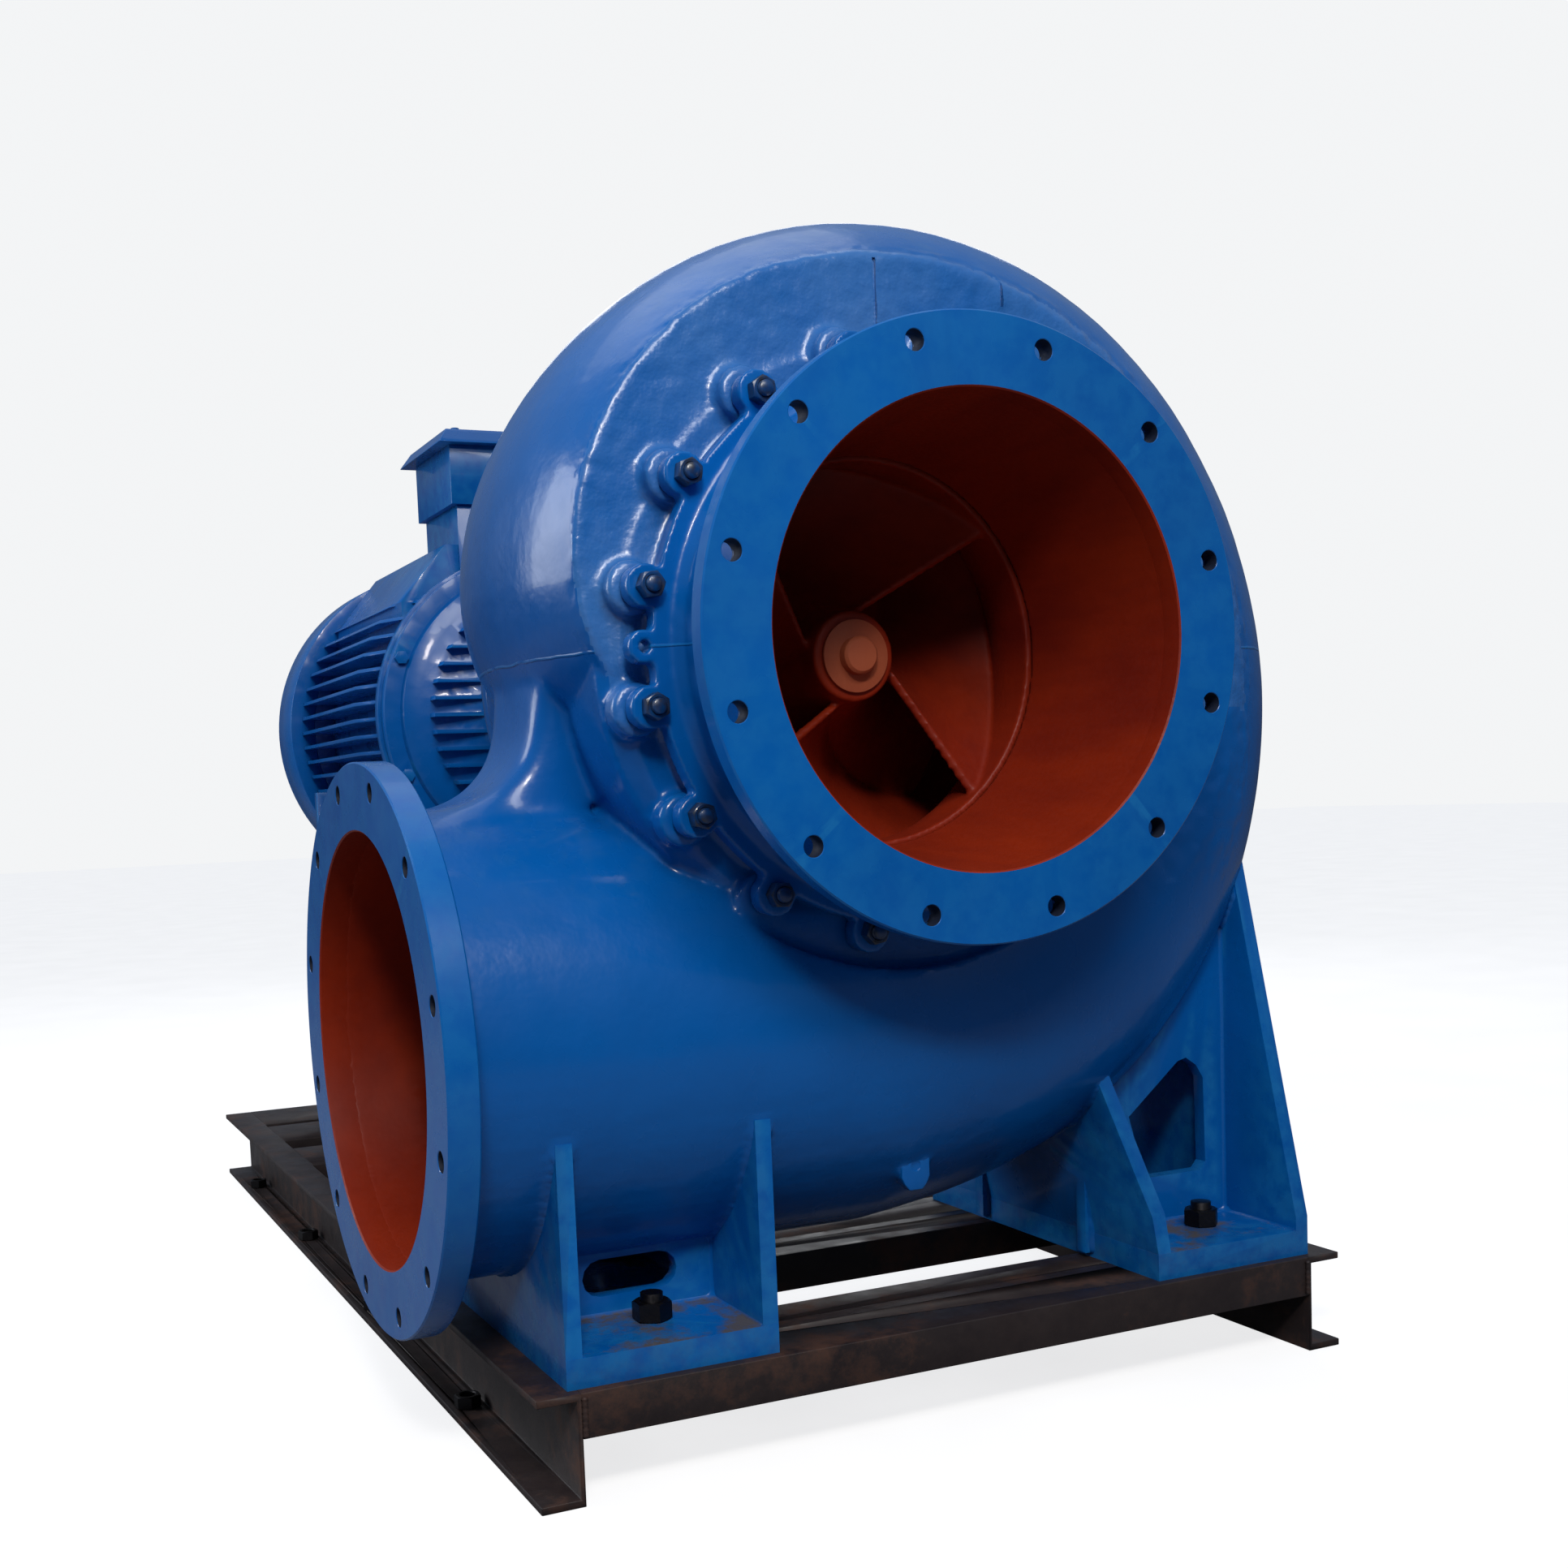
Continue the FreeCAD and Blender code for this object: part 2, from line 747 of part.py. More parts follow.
def flow_curve(start, end, last_degrees, steps=10):
    """(y, radius) points of a smooth curve that leaves start along the shaft and turns outwards."""
    turned = math.radians(last_degrees)
    for step in range(steps + 1):
        angle = turned * step / steps
        along = math.sin(angle) / math.sin(turned)
        out = (1 - math.cos(angle)) / (1 - math.cos(turned))
        yield start[0] + (end[0] - start[0]) * along, start[1] + (end[1] - start[1]) * out


HUB_LAST = 70
SHROUD_LAST = 72
SHROUD_END = 0
HUB_END = 110
SHROUD_BEND = -150
VANE_STEPS = 8
VANE_FIRST = 40
VANE_WRAP = 100
VANE_LEAN = 42


def around(spot, degrees):
    """The point at a (y, radius) pair, turned about the shaft."""
    y, radius = spot
    angle = math.radians(degrees)
    return Vector(radius * math.cos(angle), y, radius * math.sin(angle))


def vane_edges(first):
    """Matching points along a vane: where it meets the hub, and where it meets the shroud."""
    hub_start = (d.hub_front.value + 22, d.hub_radius.value - 4)
    hub = flow_curve(hub_start, (HUB_END + 4, d.hub_outlet.value), HUB_LAST, VANE_STEPS)
    shroud_start = (d.impeller_front.value + 12, d.impeller_eye.value + 6)
    shroud = flow_curve(shroud_start, (SHROUD_END - 3, d.shroud_outlet.value), SHROUD_LAST, VANE_STEPS)
    for step, (inner, outer) in enumerate(zip(hub, shroud)):
        share = step / VANE_STEPS
        hub_degrees = first + VANE_LEAN + (VANE_WRAP - VANE_LEAN) * share
        yield around(inner, hub_degrees), around(outer, first + VANE_WRAP * share)


def vane(index):
    """One backward-curved vane: a loft of thin flat sections that run from hub to shroud."""
    edges = list(vane_edges(VANE_FIRST + 360 * index / VANES))
    half = d.vane_thick.value / 2
    wires = []
    for step, (inner, outer) in enumerate(edges):
        before = edges[max(step - 1, 0)]
        after = edges[min(step + 1, VANE_STEPS)]
        flow = after[0] + after[1] - before[0] - before[1]
        side = flow.cross(outer - inner).normalize() * half
        wires.append(Part.makePolygon([inner - side, inner + side, outer + side, outer - side, inner - side]))
    blade = doc.addObject("Part::Feature", "Vane")
    blade.Shape = Part.makeLoft(wires, True, False)
    return raise_to_shaft(blade)


def loose_body(name):
    """A PartDesign body that another feature takes up, and that isn't exported itself."""
    return raise_to_shaft(doc.addObject("PartDesign::Body", name))


def impeller():
    hub = loose_body("Hub")
    flow = list(flow_curve((d.hub_front, d.hub_radius), (as_size(HUB_END), d.hub_outlet), HUB_LAST))
    back = d.hub_back
    turn(hub, [(d.hub_front, d.bore_radius)] + flow + [
        (HUB_END + 14, d.hub_outlet), (HUB_END + 8, 180), (HUB_END + 14, 95),
        (back, 90), (back, d.bore_radius),
    ])
    shroud = loose_body("Shroud")
    bend = as_size(SHROUD_BEND)
    inner = list(flow_curve((bend, d.impeller_eye), (as_size(SHROUD_END), d.shroud_outlet), SHROUD_LAST))
    rim = (SHROUD_END - 5, d.shroud_outlet + 10)
    outer = list(flow_curve((bend, d.impeller_eye_outer), rim, SHROUD_LAST))[::-1]
    front = d.impeller_front
    turn(shroud, [(front, d.impeller_eye)] + inner + outer + [(front, d.impeller_eye_outer)])
    blank = fuse([hub, shroud] + [vane(i) for i in range(VANES)])
    sub_part(cut(blank, hub_keyway(d.bore_radius, *IMPELLER_KEY, d.key_width)), "impeller")


def impeller_nut():
    """A round cap nut on the shaft's threaded end, with a wide foot that covers the hub's bore."""
    body = new_body("impeller_nut")
    front = d.hub_front - 24
    foot = d.hub_front - 6
    turn(body, [
        (front, 0), (front, 22), (front + 4, 26), (foot, 26), (foot, d.bore_radius + 10),
        (d.hub_front, d.bore_radius + 10), (d.hub_front, 16), (front + 8, 16), (front + 8, 0),
    ])


# ---------------------------------------------------------------- shafts


def keyway(shaft_radius, y0, y1, width):
    """The block to cut out of a shaft for its key."""
    low = d.shaft_height + shaft_radius - KEY_DEPTH
    half = as_size(width) / 2
    return box(-half, half, y0, y1, low, low + 30)


def hub_keyway(bore_radius, y0, y1, width):
    """The block to cut out of a hub for the upper part of its key."""
    half = as_size(width) / 2
    return box(-half, half, y0, y1, d.shaft_height, d.shaft_height + bore_radius + KEY_DEPTH)


def key(label, y0, y1, shaft_radius, width):
    """A flat key, half in the shaft and half in the hub."""
    low = d.shaft_height + shaft_radius - KEY_DEPTH
    half = as_size(width) / 2
    return sub_part(box(-half, half, y0, y1, low, low + KEY_DEPTH * 2 - 2), label)


def pump_shaft():
    """Stepped from the impeller's seat, past the sleeve and both bearings, to the coupling."""
    body = loose_body("PumpShaftBar")
    nose = d.hub_front - 15
    collar = d.sleeve_seat + 8
    front, rear = d.front_bearing, d.rear_bearing
    waist = d.bearing_seat + 11
    turn(body, [
        (nose, 0), (nose, 16), (d.hub_front, 16), (d.hub_front, d.bore_radius),
        (d.hub_back, d.bore_radius), (d.hub_back, d.sleeve_seat), (SLEEVE_END, d.sleeve_seat),
        (SLEEVE_END, collar), (front, collar), (front, d.bearing_seat),
        (front + d.bearing_width, d.bearing_seat), (front + d.bearing_width, waist),
        (rear, waist), (rear, d.bearing_seat), (rear + d.bearing_width + 10, d.bearing_seat),
        (rear + d.bearing_width + 10, d.coupling_seat), (d.coupling_face, d.coupling_seat),
        (d.coupling_face, 0),
    ])
    first = keyway(d.bore_radius, *IMPELLER_KEY, d.key_width)
    second = keyway(d.coupling_seat, *PUMP_KEY, COUPLING_KEY_WIDTH)
    sub_part(cut(cut(body, first), second), "pump_shaft")


def motor_shaft():
    """From the coupling, through both motor bearings and the rotor core, to the fan's seat."""
    body = loose_body("MotorShaftBar")
    start = d.coupling_face + d.coupling_gap
    radius = d.motor_shaft_radius
    front = MOTOR_FRONT_BEARING + MOTOR_BEARING_WIDTH
    rear = MOTOR_REAR_BEARING
    tail = rear + MOTOR_BEARING_WIDTH + 7
    end = d.motor_back + 140
    turn(body, [
        (start, 0), (start, radius), (SHIELD_NOSE, radius), (SHIELD_NOSE, MOTOR_SEAT), (front, MOTOR_SEAT),
        (front, CORE_SEAT), (rear, CORE_SEAT), (rear, MOTOR_SEAT), (tail, MOTOR_SEAT),
        (tail, FAN_SEAT), (end, FAN_SEAT), (end, 0),
    ])
    sub_part(cut(body, keyway(radius, *MOTOR_KEY, COUPLING_KEY_WIDTH)), "motor_shaft")


# ---------------------------------------------------------------- stuffing box


def back_cover():
    """Closes the casing behind the impeller and carries the stuffing box."""
    body = new_body("back_cover")
    half = d.drum_half
    turn(body, [
        (200, d.box_radius), (half - 24, d.back_opening - 60), (half - 24, d.back_opening - 2),
        (half, d.back_opening - 2), (half, d.housing_flange), (half + 22, d.housing_flange),
        (half + 22, 330), (half + 10, 300), (half + 10, d.box_radius + 30), (half + 30, d.box_radius),
        (d.box_end - 22, d.box_radius), (d.box_end - 22, d.gland_radius), (d.box_end, d.gland_radius),
        (d.box_end, d.box_bore), (PACKING_START, d.box_bore), (PACKING_START, d.sleeve_radius + 2),
        (200, d.sleeve_radius + 2),
    ])
    holes = ring_of_circles(along_y(body, half), d.stud_circle, BACK_STUDS, 15, d.stud_radius + 1)
    pocket(body, holes, 30)
    taps = ring_of_circles(along_y(body, d.box_end - 24), d.gland_stud_circle, 2, 0, d.gland_stud_radius)
    pocket(body, taps, 30)


def stuffing_box_rings():
    """Square packing rings with the lantern ring between them."""
    rings = []
    width = PACKING_WIDTH
    y = PACKING_START
    for slot in range(5):
        if slot != 2:
            rings.append(ring(y, width, d.sleeve_radius + RUNNING_GAP, d.box_bore))
        y += width + 1
    group("packing_rings", rings)
    body = new_body("lantern_ring")
    y = PACKING_START + 2 * (width + 1)
    inner, outer = d.sleeve_radius + 0.5, d.box_bore
    turn(body, [
        (y, inner), (y + width, inner), (y + width, outer), (y + width - 7, outer),
        (y + width - 7, outer - 8), (y + 7, outer - 8), (y + 7, outer), (y, outer),
    ])


def gland():
    """The follower that presses the packing, drawn up by two nuts on its studs."""
    body = new_body("gland")
    nose = PACKING_START + 5 * (PACKING_WIDTH + 1) + 2
    flange = d.box_end + 12
    bore = d.sleeve_radius + 1
    snug = d.box_bore - RUNNING_GAP
    turn(body, [
        (nose, bore), (flange + 20, bore), (flange + 20, 98), (flange, 98), (flange, snug), (nose, snug),
    ])
    ears = ring_of_circles(along_y(body, flange + 20), d.gland_stud_circle, 2, 0, 22)
    pad(body, ears, 20)
    holes = ring_of_circles(along_y(body, flange), d.gland_stud_circle, 2, 0, d.gland_stud_radius + 1)
    pocket(body, holes, 20)
    studs, nuts = [], []
    for x, z in ring_spots(d.gland_stud_circle, 2, 0):
        studs.append(cylinder(d.gland_stud_radius, 96, x, d.box_end - 22, z, ALONG_Y))
        nuts.append(nut(24, 14, d.gland_stud_radius + RUNNING_GAP, x, flange + 20, z, ALONG_Y))
    group("gland_studs", studs)
    group("gland_nuts", nuts)


# ---------------------------------------------------------------- bearing housing


def bearing_housing():
    """A lantern with two open windows, then the barrel that holds both bearings."""
    body = new_body("bearing_housing")
    start = d.drum_half + 22
    front = d.barrel_front
    end = d.barrel_end
    barrel = d.barrel_radius
    turn(body, [
        (start, 322), (start, d.housing_flange), (start + 26, d.housing_flange), (start + 26, 350),
        (front - 30, barrel + 34), (front, barrel + 34), (front + 20, barrel), (end, barrel),
        (end, d.bearing_outer), (d.rear_bearing, d.bearing_outer), (d.rear_bearing, 96),
        (d.front_bearing + d.bearing_width, 96), (d.front_bearing + d.bearing_width, d.bearing_outer),
        (front, d.bearing_outer), (front, barrel - 6), (front - 26, barrel + 8), (start + 30, 322),
    ])
    openings = new_sketch(body, "YZ_Plane", -450)
    outline(openings, [(start + 44, -105), (front - 44, -80), (front - 44, 80), (start + 44, 105)])
    pocket(body, openings, 900, backwards=True)
    pocket(body, ring_of_circles(along_y(body, start), d.stud_circle, BACK_STUDS, 15, d.stud_radius + 1), 60)


def back_fasteners():
    studs, nuts = [], []
    start = d.drum_half - STUD_DEPTH
    face = d.drum_half + 48
    for x, z in ring_spots(d.stud_circle, BACK_STUDS, 15):
        studs.append(cylinder(d.stud_radius, face + 26 - start, x, start, z, ALONG_Y))
        nuts.append(nut(30, 18, d.stud_radius, x, face, z, ALONG_Y))
    group("back_studs", studs)
    group("back_nuts", nuts)


def rolling_bearings(name, places, seat, outer, width, rollers):
    """Outer races for the housing, inner races and rollers for the shaft, one set per place."""
    seat, outer = as_size(seat), as_size(outer)
    race = (outer - seat) * RACE_SHARE
    roller = (outer - seat) * (0.5 - RACE_SHARE) - RUNNING_GAP
    outer_races, inner_races, loose = [], [], []
    for y in places:
        outer_races.append(ring(y, width, outer - race, outer))
        inner_races.append(ring(y, width, seat, seat + race))
        for x, z in ring_spots((seat + outer) / 2, rollers, 0):
            loose.append(cylinder(roller, width - 8, x, y + 4, z, ALONG_Y))
    group(f"{name}_outer_races", outer_races)
    group(f"{name}_inner_races", inner_races)
    group(f"{name}_rollers", loose)


def bearing_covers():
    front, end = d.barrel_front, d.barrel_end
    hub = d.sleeve_seat + 8
    body = new_body("front_bearing_cover")
    turn(body, [
        (front - 22, hub + 1), (front + 24, hub + 1), (front + 24, d.bearing_outer), (front, d.bearing_outer),
        (front, d.barrel_radius - 8), (front - 22, d.barrel_radius - 8),
    ])
    body = new_body("rear_bearing_cover")
    inner = d.rear_bearing + d.bearing_width + 1
    chamber = d.bearing_seat + 12
    turn(body, [
        (inner, chamber), (inner, d.bearing_outer), (end, d.bearing_outer), (end, d.barrel_radius),
        (end + 18, d.barrel_radius), (end + 18, d.coupling_seat + 1), (end - 8, d.coupling_seat + 1),
        (end - 8, chamber),
    ])
    screws = []
    for x, z in ring_spots(130, 6, 0):
        screws.append(hexagon(19, 10, x, end + 18, z, ALONG_Y))
    group("bearing_cover_screws", screws)


# ---------------------------------------------------------------- coupling


def pump_coupling_half():
    """Hub and flange on the pump's shaft, with seats for the rubber bushes."""
    face = d.coupling_face
    back = face - d.coupling_flange_thick
    hub_end = back - 78
    bore = d.coupling_seat
    body = loose_body("PumpHalf")
    turn(body, [
        (hub_end, bore), (hub_end, d.coupling_hub), (back, d.coupling_hub),
        (back, d.coupling_radius), (face, d.coupling_radius), (face, bore),
    ])
    seats = ring_of_circles(along_y(body, back), d.pin_circle, COUPLING_PINS, 0, d.bush_radius)
    pocket(body, seats, d.coupling_flange_thick)
    sub_part(cut(body, hub_keyway(bore, *PUMP_KEY, COUPLING_KEY_WIDTH)), "pump_coupling_half")


def motor_coupling_half():
    """Hub and flange on the motor's shaft, with the pins fast in it."""
    face = d.coupling_face + d.coupling_gap
    back = face + d.coupling_flange_thick
    hub_end = back + 100
    bore = d.motor_shaft_radius
    body = loose_body("MotorHalf")
    turn(body, [
        (face, bore), (face, d.coupling_radius), (back, d.coupling_radius),
        (back, d.coupling_hub), (hub_end, d.coupling_hub), (hub_end, bore),
    ])
    seats = ring_of_circles(along_y(body, face), d.pin_circle, COUPLING_PINS, 0, d.pin_radius)
    pocket(body, seats, d.coupling_flange_thick)
    sub_part(cut(body, hub_keyway(bore, *MOTOR_KEY, COUPLING_KEY_WIDTH)), "motor_coupling_half")


def coupling_pins():
    """Headed pins with a nut at the motor's end and a rubber bush in the pump's half."""
    thick = d.coupling_flange_thick
    bush_start = d.coupling_face - thick
    nut_start = d.coupling_face + d.coupling_gap + thick
    head = 8
    start = bush_start - head - 1
    pins, nuts, bushes = [], [], []
    for x, z in ring_spots(d.pin_circle, COUPLING_PINS, 0):
        cap = cylinder(d.pin_radius + 5, head, x, start, z, ALONG_Y)
        shank = cylinder(d.pin_radius, nut_start + 24 - start, x, start, z, ALONG_Y)
        pins.append(fuse([cap, shank]))
        nuts.append(nut(30, 16, d.pin_radius, x, nut_start, z, ALONG_Y))
        bush = cylinder(d.bush_radius, thick, x, bush_start, z, ALONG_Y)
        bushes.append(cut(bush, cylinder(d.pin_radius + RUNNING_GAP, thick, x, bush_start, z, ALONG_Y)))
    group("coupling_pins", pins)
    group("coupling_nuts", nuts)
    group("coupling_bushes", bushes)


# ---------------------------------------------------------------- motor


def cooling_fins():
    """Level fins on both sides, trimmed to a round outline with tapered front ends."""
    front, back, reach = d.motor_front, d.motor_back, d.fin_radius
    envelope = loose_body("FinEnvelope")
    turn(envelope, [(front, 0), (front, reach - 34), (front + 110, reach), (back, reach), (back, 0)])
    plates = []
    for row in range(-FIN_ROWS, FIN_ROWS + 1):
        z = d.shaft_height + d.fin_pitch * row - d.fin_thick / 2
        plates.append(box(-reach, reach, front + 14, back, z, z + d.fin_thick))
    return common([fuse(plates), envelope])


def motor_saddle():
    """The smooth flat-topped pad over the fins."""
    saddle = loose_body("Saddle")
    top = d.saddle_top - d.shaft_height
    side, low, high = 258, 150, 238
    points = [
        (-side, low), (-side, high), (-d.saddle_half, top), (d.saddle_half, top), (side, high), (side, low),
    ]
    pad(saddle, outline(along_y(saddle, d.motor_back), points), d.motor_back - d.motor_front - 44)
    return saddle


def motor_feet():
    """Two foot plates joined to the shell by three upright brackets."""
    front, back, low = d.motor_front, d.motor_back, d.motor_feet
    pieces = []
    for x0, x1 in ((-355, -235), (235, 355)):
        pieces.append(box(x0, x1, front + 14, back - 14, low, low + MOTOR_FOOT_THICK))
    for y in (front + 75, (front + back) / 2 - 14, back - 103):
        pieces.append(box(-350, 350, y, y + 28, low + 20, d.shaft_height - 140))
    return pieces


def motor_bolt_spots():
    """Places of the motor's four foot bolts."""
    for x in (-d.motor_bolt_x, d.motor_bolt_x):
        for y in (d.motor_front + 40, d.motor_back - 41):
            yield x, y


def shield_bolt_spots():
    return ring_spots(308, 8, 22.5)


def motor_frame():
    """A finned shell with the cast neck that carries the terminal box, and two feet."""
    front, back, height = d.motor_front, d.motor_back, d.shaft_height
    length = back - front
    shell = cylinder(d.motor_skin, length, 0, front, height, ALONG_Y)
    collar = cylinder(d.motor_skin + 48, 26, 0, front, height, ALONG_Y)
    neck = box(-d.riser_half, d.riser_half, d.riser_front, d.riser_back, height + 200, d.box_bottom)
    solid = fuse([cooling_fins(), shell, collar, motor_saddle(), neck] + motor_feet())
    middle = (d.riser_front + d.riser_back) / 2
    holes = [cylinder(d.motor_bore, length, 0, front, height, ALONG_Y)]
    holes.append(cylinder(PASSAGE_RADIUS, 400, 0, middle, height + 100))
    for x, y in motor_bolt_spots():
        holes.append(cylinder(d.motor_bolt_radius + 1, MOTOR_FOOT_THICK, x, y, d.motor_feet))
    for x, z in shield_bolt_spots():
        holes.append(cylinder(SHIELD_BOLT_RADIUS, 20, x, front, z, ALONG_Y))
    sub_part(cut(solid, fuse(holes)), "motor_frame")


def motor_front_shield():
    """A dished end shield with level ribs across its face."""
    front = d.motor_front
    nose = as_size(SHIELD_NOSE)
    rim = d.motor_skin + 42
    plate = loose_body("FrontPlate")
    turn(plate, [
        (nose, 0), (nose, 118), (nose + 20, 140), (front - 42, 288), (front - 30, 292), (front - 30, rim),
        (front, rim), (front, d.motor_bore - 4), (front - 16, 240), (front - 30, 118), (front - 14, 112),
        (front - 14, 0),
    ])
    reach = as_size(238)
    ribs = []
    for row in range(-5, 6):
        z = d.shaft_height + d.fin_pitch * row
        ribs.append(box(-reach, reach, nose + 10, front - 36, z - 4, z + 4))
    round_limit = cylinder(reach, 200, 0, nose, d.shaft_height, ALONG_Y)
    solid = fuse([plate, common([fuse(ribs), round_limit])])
    holes = [cylinder(MOTOR_SEAT + 1, 200, 0, nose - 10, d.shaft_height, ALONG_Y)]
    holes.append(cylinder(MOTOR_BEARING_OUTER, 100, 0, as_size(MOTOR_FRONT_BEARING), d.shaft_height, ALONG_Y))
    for x, z in shield_bolt_spots():
        holes.append(cylinder(SHIELD_BOLT_RADIUS, 40, x, front - 35, z, ALONG_Y))
    sub_part(cut(solid, fuse(holes)), "motor_front_shield")


def shield_bolts():
    bolts = []
    front = d.motor_front
    for x, z in shield_bolt_spots():
        head = hexagon(24, 11, x, front - 41, z, ALONG_Y)
        bolts.append(fuse([head, cylinder(SHIELD_BOLT_RADIUS, 50, x, front - 30, z, ALONG_Y)]))
    group("shield_bolts", bolts)


def motor_rear_shield():
    back = d.motor_back
    seat = as_size(MOTOR_REAR_BEARING)
    seat_end = seat + MOTOR_BEARING_WIDTH
    rim = d.motor_skin + 42
    body = new_body("motor_rear_shield")
    turn(body, [
        (back, 240), (back, rim), (back + 20, rim), (back + 28, 125), (seat_end + 5, 118),
        (seat_end + 5, MOTOR_SEAT + 2), (seat_end, MOTOR_SEAT + 2), (seat_end, MOTOR_BEARING_OUTER),
        (seat, MOTOR_BEARING_OUTER), (seat, 112), (back + 12, 118),
    ])


def motor_windings_and_cores():
    start = d.motor_front + 100
    end = start + 430
    tube("stator_core", start, end, d.stator_bore, d.motor_bore)
    group("stator_windings", [ring(y, 48, 192, 246) for y in (start - 48, end)])
    tube("motor_rotor", start - 10, end + 10, CORE_SEAT, d.stator_bore - 1.5)


def motor_fan():
    """A back plate with straight radial blades, good for either direction of turning."""
    start = d.motor_back + 80
    hub = cylinder(62, 55, 0, start, d.shaft_height, ALONG_Y)
    plate = cylinder(290, 6, 0, start, d.shaft_height, ALONG_Y)
    parts = [hub, plate]
    for index in range(FAN_BLADES):
        turned = Rotation(Vector(0, 1, 0), 360 * index / FAN_BLADES)
        blade = box(0, 232, 0, 60, 0, 6)
        corner = turned.multVec(Vector(56, 0, -3))
        parts.append(place(blade, corner.x, start, d.shaft_height + corner.z, turned))
    sub_part(cut(fuse(parts), cylinder(FAN_SEAT, 80, 0, start - 5, d.shaft_height, ALONG_Y)), "motor_fan")


def fan_cowl():
    """A sheet cowl with a rounded back, pierced with rings of air holes."""
    body = new_body("fan_cowl")
    radius, end = d.cowl_radius, d.cowl_end
    front = d.motor_back + 2
    sheet = 4
    turn(body, [
        (front, radius - sheet), (front, radius), (end - 60, radius), (end - 22, radius - 18),
        (end, radius - 62), (end, 0), (end - sheet, 0), (end - sheet, radius - 64),
        (end - 24, radius - 22), (end - 61, radius - sheet),
    ])
    rim = d.motor_skin + 42
    turn(body, [(front, rim), (front + sheet, rim), (front + sheet, radius - 1), (front, radius - 1)])
    for circle_radius, count in ((60, 8), (110, 14), (160, 20), (210, 26), (260, 32)):
        holes = ring_of_circles(along_y(body, end - sheet * 2), circle_radius, count, 0, 15)
        pocket(body, holes, sheet * 4)


def terminal_box():
    half, front, back = d.box_half, d.box_front, d.box_back
    bottom, top = d.box_bottom, d.box_top
    wall = BOX_WALL
    outside = box(-half, half, front, back, bottom, top)
    inside = box(wall - half, half - wall, front + wall, back - wall, bottom + wall, top + 5)
    passage = cylinder(PASSAGE_RADIUS, 40, 0, (front + back) / 2, bottom - 10)
    entry = cylinder(ENTRY_RADIUS, 40, half - 20, (front + back) / 2, bottom + ENTRY_UP, ALONG_X)
    sub_part(cut(outside, fuse([inside, passage, entry])), "terminal_box")


def terminal_lid():
    """A cap that overhangs the box, with its edges sloped, held by four screws."""
    half, front, back, lip = d.box_half, d.box_front, d.box_back, d.lid_lip
    lid = new_body("terminal_lid", on_shaft=False)
    sketch = new_sketch(lid, "XY_Plane", d.box_top)
    side, near, far = half + lip, front - lip, back + lip
    cap = pad(lid, outline(sketch, [(-side, near), (side, near), (side, far), (-side, far)]), 30)
    cap.TaperAngle = -35
    screws = []
    for x in (20 - half, half - 20):
        for y in (front + 20, back - 20):
            screws.append(hexagon(16, 7, x, y, d.box_top + 30))
    group("lid_screws", screws)


def cable_gland():
    half = d.box_half
    y = (d.box_front + d.box_back) / 2
    z = d.box_bottom + ENTRY_UP
    thread = cylinder(ENTRY_RADIUS, BOX_WALL, half - BOX_WALL, y, z, ALONG_X)
    collar = hexagon(76, 22, half, y, z, ALONG_X)
    tail = cylinder(ENTRY_RADIUS - 2, 52, half, y, z, ALONG_X)
    cable_hole = cylinder(17, 90, half - BOX_WALL - 5, y, z, ALONG_X)
    sub_part(cut(fuse([thread, collar, tail]), cable_hole), "cable_gland")


def motor_bolts():
    """Hexagon bolts down through the motor's feet into tapped holes of the stool."""
    bolts = []
    top = d.motor_feet + MOTOR_FOOT_THICK
    for x, y in motor_bolt_spots():
        head = hexagon(36, 15, x, y, top)
        low = d.motor_feet - PEDESTAL_PLATE
        bolts.append(fuse([head, cylinder(d.motor_bolt_radius, top - low, x, y, low)]))
    group("motor_bolts", bolts)


# ---------------------------------------------------------------- skid


def anchor_rows():
    return [d.anchor_front + d.anchor_pitch * i for i in range(4)]


def rail(label, web_inside, outward):
    """A channel rail with its web inside and its flanges pointing outwards."""
    body = new_body(label, on_shaft=False)
    thick = d.rail_flange_thick
    web = web_inside + outward * d.rail_web
    tip = web_inside + outward * d.rail_flange
    top = d.skid_height
    sketch = along_y(body, d.rail_back)
    outline(sketch, [
        (web_inside, 0), (tip, 0), (tip, thick), (web, thick),
        (web, top - thick), (tip, top - thick), (tip, top), (web_inside, top),
    ])
    pad(body, sketch, d.rail_back - d.rail_front)
    for y in anchor_rows():
        hole = circle(new_sketch(body, "XY_Plane", 0), web_inside + outward * ANCHOR_OUT, y, d.anchor_hole)
        pocket(body, hole, thick, backwards=True)


def cross_beam(y):
    """A channel lying web up between the rails."""
    left = d.rail_left + d.rail_web
    right = d.rail_right - d.rail_web
    top, thick, width = d.skid_height, d.beam_thick, d.beam_width
    lip_low = top - d.beam_lip
    web = box(left, right, y, y + width, top - thick, top)
    front_lip = box(left, right, y, y + thick, lip_low, top - thick)
    back_lip = box(left, right, y + width - thick, y + width, lip_low, top - thick)
    return fuse([web, front_lip, back_lip])


